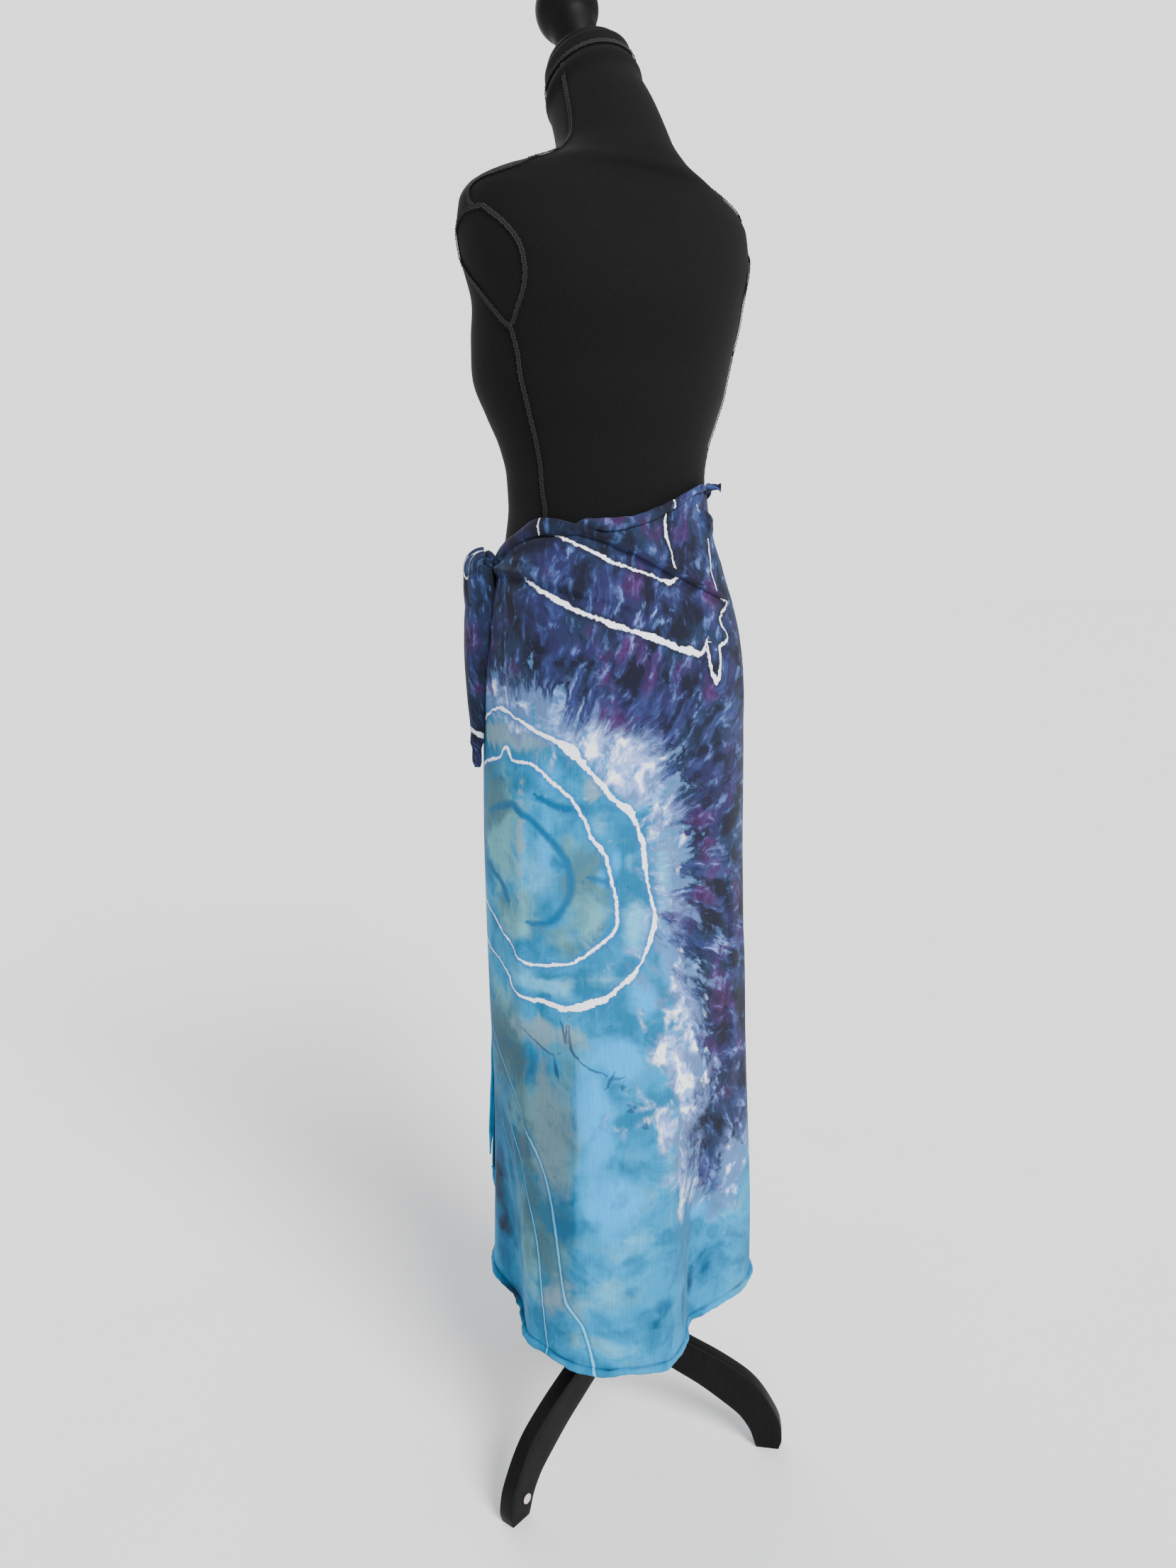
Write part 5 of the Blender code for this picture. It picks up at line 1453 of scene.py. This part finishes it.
night_tone = feather * 0.40 + blotch * 0.60
night_ground = dyed.mix(pools.step(0.44, 0.56), NIGHT_MID, NIGHT_TEAL)
night_ground = dyed.mix(night_tone.step(0.41, 0.54), NIGHT_DEEP, night_ground)
slate = (feather * 0.60 + feather_fine * 0.40).step(0.48, 0.62)
night_ground = dyed.mix(slate * 0.80, night_ground, NIGHT_SLATE)
stain = dyed.field("purple") * 0.80 + (blotch - 0.5) * 2.4 + (feather - 0.5) * 1.6
stain = (stain - 0.34).step(0.0, 0.6)
violet = dyed.mix(blotch_fine.step(0.40, 0.62), PURPLE, PURPLE_SOFT)
night_ground = dyed.mix(stain * 0.80, night_ground, violet)
wisp = (feather_fine * 0.45 + blotch * 0.30 + blotch_fine * 0.25).step(0.52, 0.66)
night_ground = dyed.mix(wisp * 0.60, night_ground, NIGHT_PALE)
cloud = dyed.field("cloud")
clouding = cloud * 0.55 + (feather - 0.5) * 2.0 + (feather_fine - 0.5) * 2.2
night_ground = dyed.mix((clouding - 0.44).step(0.0, 0.55) * 0.75, night_ground, LILAC)
print("the night ground takes", len(dyed.nodes), "nodes")

# %% The light ground
TEAL = seen(66, 104, 110)
TEAL_PALE = seen(92, 156, 166)
CYAN_DEEP = seen(2, 98, 138)
CYAN = seen(2, 132, 182)
CYAN_BRIGHT = seen(0, 154, 222)
BLUE_PALE = seen(106, 200, 240)
SAND_AND_SHADE = seen(112, 142, 152)
DEEP = seen(2, 38, 62)
DEEP_CYAN = seen(2, 84, 128)


def spots(name, grain, depth, edge=0.45):
    """Where a patch shows, its edge broken up by a noise."""
    return (dyed.field(name) + (grain - 0.5) * depth - 0.40).step(0.0, edge)


web = dyed.noise(flat_bent, 44.0, 3.0, 0.5)
vein = abs(web - 0.5)
crackle = (blotch_fine * 0.5 + web * 0.5 - 0.5) * 2.4 + vein * 1.6 + 0.36
marble = pools * 0.45 + blotch * 0.40 + blotch_fine * 0.15
day = dyed.mix(marble.step(0.42, 0.56), CYAN_DEEP, CYAN)
day = dyed.mix(marble.step(0.52, 0.66) * 0.7, day, TEAL_PALE)
day = dyed.mix(spots("pale", blotch * 0.5 + pools * 0.5, 2.6, 0.9) * 0.85, day, BLUE_PALE)
grey_teal = dyed.mix(pools.step(0.42, 0.58), TEAL, TEAL_PALE)
day = dyed.mix(spots("teal", blotch, 1.6) * 0.90, day, grey_teal)
day = dyed.mix(spots("sand", feather, 1.6) * 0.85, day, SAND_AND_SHADE)
day = dyed.mix(spots("bright", pools, 1.5) * 0.90, day, CYAN_BRIGHT)
deepest = dyed.mix(pools.step(0.46, 0.54), DEEP, DEEP_CYAN)
day = dyed.mix(spots("deep", blotch, 1.8, 0.60), day, deepest)
mottled = (blotch * 0.6 + blotch_fine * 0.4).step(0.51, 0.63)
day = dyed.mix(mottled * 0.34, day, DEEP_CYAN)
arc = abs(dyed.field("core_line") + (blotch - 0.5) * 0.012) - dyed.field("core_wide")
day = dyed.mix(arc.step(0.0055, -0.0005) * (0.5 + pools * 0.8).clamped(), day, DEEP_CYAN)
whitened = dyed.field("white")
whiter = whitened + (feather - 0.5) * 1.6 + (blotch - 0.5) * 1.8 - 0.42
whiter = whiter.step(0.0, 0.55) * whitened.step(0.05, 0.3)
day = dyed.mix(whiter * 0.90, day, dyed.mix(crackle.step(0.30, 0.62), LILAC, BARE))
smudge = (dyed.field("smudge") + (blotch_fine - 0.5) * 2.4 - 0.30).step(0.0, 0.4)
day = dyed.mix(smudge * 0.65, day, NIGHT_MID)
stroke = abs(dyed.field("stroke_line") + (blotch_fine - 0.5) * 0.0050) - dyed.field("stroke_wide")
day = dyed.mix(stroke.step(0.0012, -0.0006) * 0.70, day, NIGHT_MID)
print("with the light ground there are", len(dyed.nodes))

# %% Where they meet
edge = dyed.field("night") + (feather - 0.5) * 0.15
edge = edge + (feather_fine - 0.5) * 0.09 + (blotch - 0.5) * 0.13
fringe_tone = cloud * 0.50 + (blotch - 0.5) * 2.2 + (crackle - 0.5) * 1.3
fringe = dyed.mix(fringe_tone.step(0.0, 0.35), FRINGE_GREY, LILAC)
fringe = dyed.mix(fringe_tone.step(0.32, 0.72), fringe, BARE)
pale_band = edge.step(-0.070, -0.022) * (0.74 + cloud * 0.6 + (pools - 0.5) * 1.8).clamped()
day = dyed.mix(pale_band * 0.92, day, fringe)
mottle = cloud * 0.8 - 0.1 + (blotch - 0.5) * 3.0 + (feather_fine - 0.5) * 2.4
mottle = (mottle * edge.step(0.048, 0.002)).clamped()
night_ground = dyed.mix(mottle * crackle.step(0.0, 0.5) * 0.80, night_ground, LILAC)
into_night = edge.step(-0.016, 0.010)
colour = dyed.mix(into_night, day, night_ground)
print("the two grounds meet at", len(dyed.nodes), "nodes")

# %% The white lines over both
RIM_DAY = seen(30, 96, 160)
jag = dyed.noise(flat, 150.0, 3.0, 0.65)
wobble = (jag - 0.5) * 0.0058 + (blotch_fine - 0.5) * 0.0054 + (blotch - 0.5) * 0.0030
distance = abs(dyed.field("mark_line") + wobble)
swelling = dyed.noise(flat, 46.0, 2.0, 0.5)
half_wide = dyed.field("mark_wide") * (swelling * 1.8 + 0.06)
halo = (distance - half_wide).step(0.0070, 0.0004)
rim = dyed.mix(into_night, RIM_DAY, NIGHT_DEEP)
colour = dyed.mix(halo * (0.15 + blotch * 0.8).clamped(), colour, rim)
bare_line = (distance - half_wide).step(0.0006, -0.0004)
colour = dyed.mix(bare_line, colour, BARE)
pale_gap = abs(dyed.field("pale_line") + wobble * 0.35) - dyed.field("pale_wide")
colour = dyed.mix(pale_gap.step(0.0042, 0.0002) * 0.60, colour, DEEP_CYAN)
colour = dyed.mix(pale_gap.step(0.0005, -0.0003) * 0.80, colour, BLUE_PALE)
# painted shade: the stored shade darkens the colour by multiplying it with the sand tint
colour = dyed.mix(dyed.field("shade") * 0.55, colour, SAND_AND_SHADE, "MULTIPLY")
wale_tone = dyed.noise(dyed.stretched(flat, 520.0, 30.0, 1.0), 1.0, 2.0, 0.5)
colour = dyed.mix(wale_tone.step(0.62, 0.30) * 0.12, colour, NIGHT_SLATE, "MULTIPLY")
print("the dye has", len(dyed.nodes), "nodes")

# %% The jersey's knit, and which pieces wear the dye
rib = dyed.ribs(flat, "X", 260.0, 1.2)
fuzz = dyed.noise(flat, 900.0, 3.0, 0.6)
rumple = dyed.noise(flat_bent, 34.0, 4.0, 0.5)
weave = dyed.bump(rib * 0.5 + fuzz * 0.5, 0.22, 0.0005)
dyed.finish({
    "Base Color": colour,
    "Normal": dyed.bump(rumple, 0.28, 0.0040, weave),
    "Roughness": 0.80 + fuzz * 0.12,
    "Specular IOR Level": 0.16,
    "Sheen Weight": 0.04,
    "Sheen Roughness": 0.55,
}, WORN)
print(len(WORN), "pieces are dyed jersey")

# %% [markdown]
# ## Black jersey, black wood and the pale plug
# Three plain finishes, and none is one flat colour. The cover's knit is a fine rib with a little
# lint. The wood is painted satin black, with faint grain, and its edges are painted paler, partly
# as rubbed paint and partly as a painted highlight.

# %% The form's cover
cover = Surface(bpy.data.materials.new("jersey_black"))
place = cover.place()
knit = cover.ribs(place, "Z", 210.0, 1.6)
lint = cover.noise(place, 620.0, 3.0, 0.6)
patchy = cover.noise(place, 9.0, 3.0, 0.5)
black = cover.mix(lint.step(0.45, 0.75), seen(8, 8, 9), seen(17, 17, 18))
black = cover.mix(patchy.step(0.4, 0.7) * 0.4, black, seen(12, 12, 14))
cover.finish({
    "Base Color": black,
    "Normal": cover.bump(knit * 0.5 + lint * 0.5, 0.30, 0.0006),
    "Roughness": 0.84 + lint * 0.12,
    "Specular IOR Level": 0.12,
    "Sheen Weight": 0.02,
}, ("form_covered", "seam_bands"))

cotton = Surface(bpy.data.materials.new("thread_black"))
ply = cotton.noise(cotton.place(), 1400.0, 2.0, 0.5)
cotton.finish({
    "Base Color": cotton.mix(ply.step(0.4, 0.7), seen(10, 10, 11), seen(22, 22, 24)),
    "Normal": cotton.bump(ply, 0.4, 0.0003),
    "Roughness": 0.55 + ply * 0.2,
}, ("seam_threads",))
print("the knit has", len(cover.nodes), "nodes, and the thread", len(cotton.nodes))

# %% Black wood
wood = Surface(bpy.data.materials.new("wood_black"))
place = wood.place()
grain = wood.add("ShaderNodeTexNoise", {}, {
    "Vector": wood.stretched(place, 60.0, 60.0, 9.0),
    "Scale": 6.0, "Detail": 5.0, "Roughness": 0.6, "Distortion": 0.4,
})
smear = wood.noise(place, 26.0, 4.0, 0.5)
# painted highlight and wear: the wood's convex edges are mixed paler, standing partly for rubbed
# paint and partly for the highlights along them
pointed = wood.add("ShaderNodeNewGeometry", out=7)
edge_wear_and_highlight = (pointed + smear * 0.10).step(0.56, 0.68)
paint = wood.mix(grain.step(0.4, 0.7), seen(4, 4, 5), seen(9, 9, 10))
wood.finish({
    "Base Color": wood.mix(edge_wear_and_highlight * 0.30, paint, seen(42, 41, 40)),
    "Normal": wood.bump(grain, 0.14, 0.0008),
    "Roughness": 0.46 + smear * 0.22 + edge_wear_and_highlight * 0.15,
    "Specular IOR Level": 0.12,
}, ("neck_cap_turned", "finial_turned", "pole_turned", "hub_turned",
    "leg_1_sawn", "leg_2_sawn", "leg_3_sawn"))
print("the wood has", len(wood.nodes), "nodes")

# %% The plug's plastic
plastic = Surface(bpy.data.materials.new("plug_pale"))
scuff = plastic.noise(plastic.place(), 900.0, 3.0, 0.6)
plastic.finish({
    "Base Color": plastic.mix(scuff.step(0.5, 0.7), seen(196, 178, 180), seen(160, 142, 144)),
    "Roughness": 0.40 + scuff * 0.20,
}, ("leg_plug_pressed",))
print("the plug has", len(plastic.nodes), "nodes")

# %% [markdown]
# ## The sheet, the floor and the light
# The other dyed pieces beside the sarong are listed. Then come a plain pale floor and soft studio
# light from large lamps, which leave the dark form readable and keep the dye's colours clean. The
# room is a little brighter to look at than the light it gives, so that the floor's far edge melts
# into it.

[bpy.data.objects[name] for name in WORN if name != "sarong"]
print("the sheet goes with", len(WORN) - 1, "other pieces")

# %% The floor
FLOOR = 60
corners = [(-FLOOR, -FLOOR, 0), (FLOOR, -FLOOR, 0), (FLOOR, FLOOR, 0), (-FLOOR, FLOOR, 0)]
floor_mesh = bpy.data.meshes.new("floor")
floor_mesh.from_pydata(corners, [], [(0, 1, 2, 3)])
floor = bpy.data.objects.new("floor", floor_mesh)
bpy.context.scene.collection.objects.link(floor)
paper = Surface(bpy.data.materials.new("studio_floor"))
faint = paper.noise(paper.place(), 3.0, 2.0)
paper.finish({
    "Base Color": paper.mix(faint, (0.86, 0.86, 0.87, 1.0), (0.90, 0.90, 0.90, 1.0)),
    "Roughness": 0.9,
}, ("floor",))
print("the floor is", 2 * FLOOR, "m wide")

# %% Two lamps and the room
Lamp = namedtuple("Lamp", "name place softness power")
LAMPS = (
    Lamp("key", (0.08, 2.4, 2.6), 25, 5.3),
    Lamp("far_side", (-0.6, -2.4, 2.2), 50, 1.7),
)
for lamp in LAMPS:
    light = bpy.data.lights.new(lamp.name, "SUN")
    light.angle = radians(lamp.softness)
    light.energy = lamp.power
    holder = bpy.data.objects.new(lamp.name, light)
    holder.location = lamp.place
    towards = Vector((0.0, 0.0, 0.8)) - Vector(lamp.place)
    holder.rotation_euler = towards.to_track_quat("-Z", "Y").to_euler()
    bpy.context.scene.collection.objects.link(holder)
room = Surface(bpy.data.worlds.new("studio"), "Background")
looked_at = room.add("ShaderNodeLightPath")
glow = room.add("ShaderNodeMapRange", {}, {"Value": looked_at, "To Min": 0.78, "To Max": 1.85})
room.finish({"Color": (0.97, 0.98, 1.0, 1.0), "Strength": glow}, ())
bpy.context.scene.world = room.owner
print("lit by", len(LAMPS), "soft lamps and a pale room")
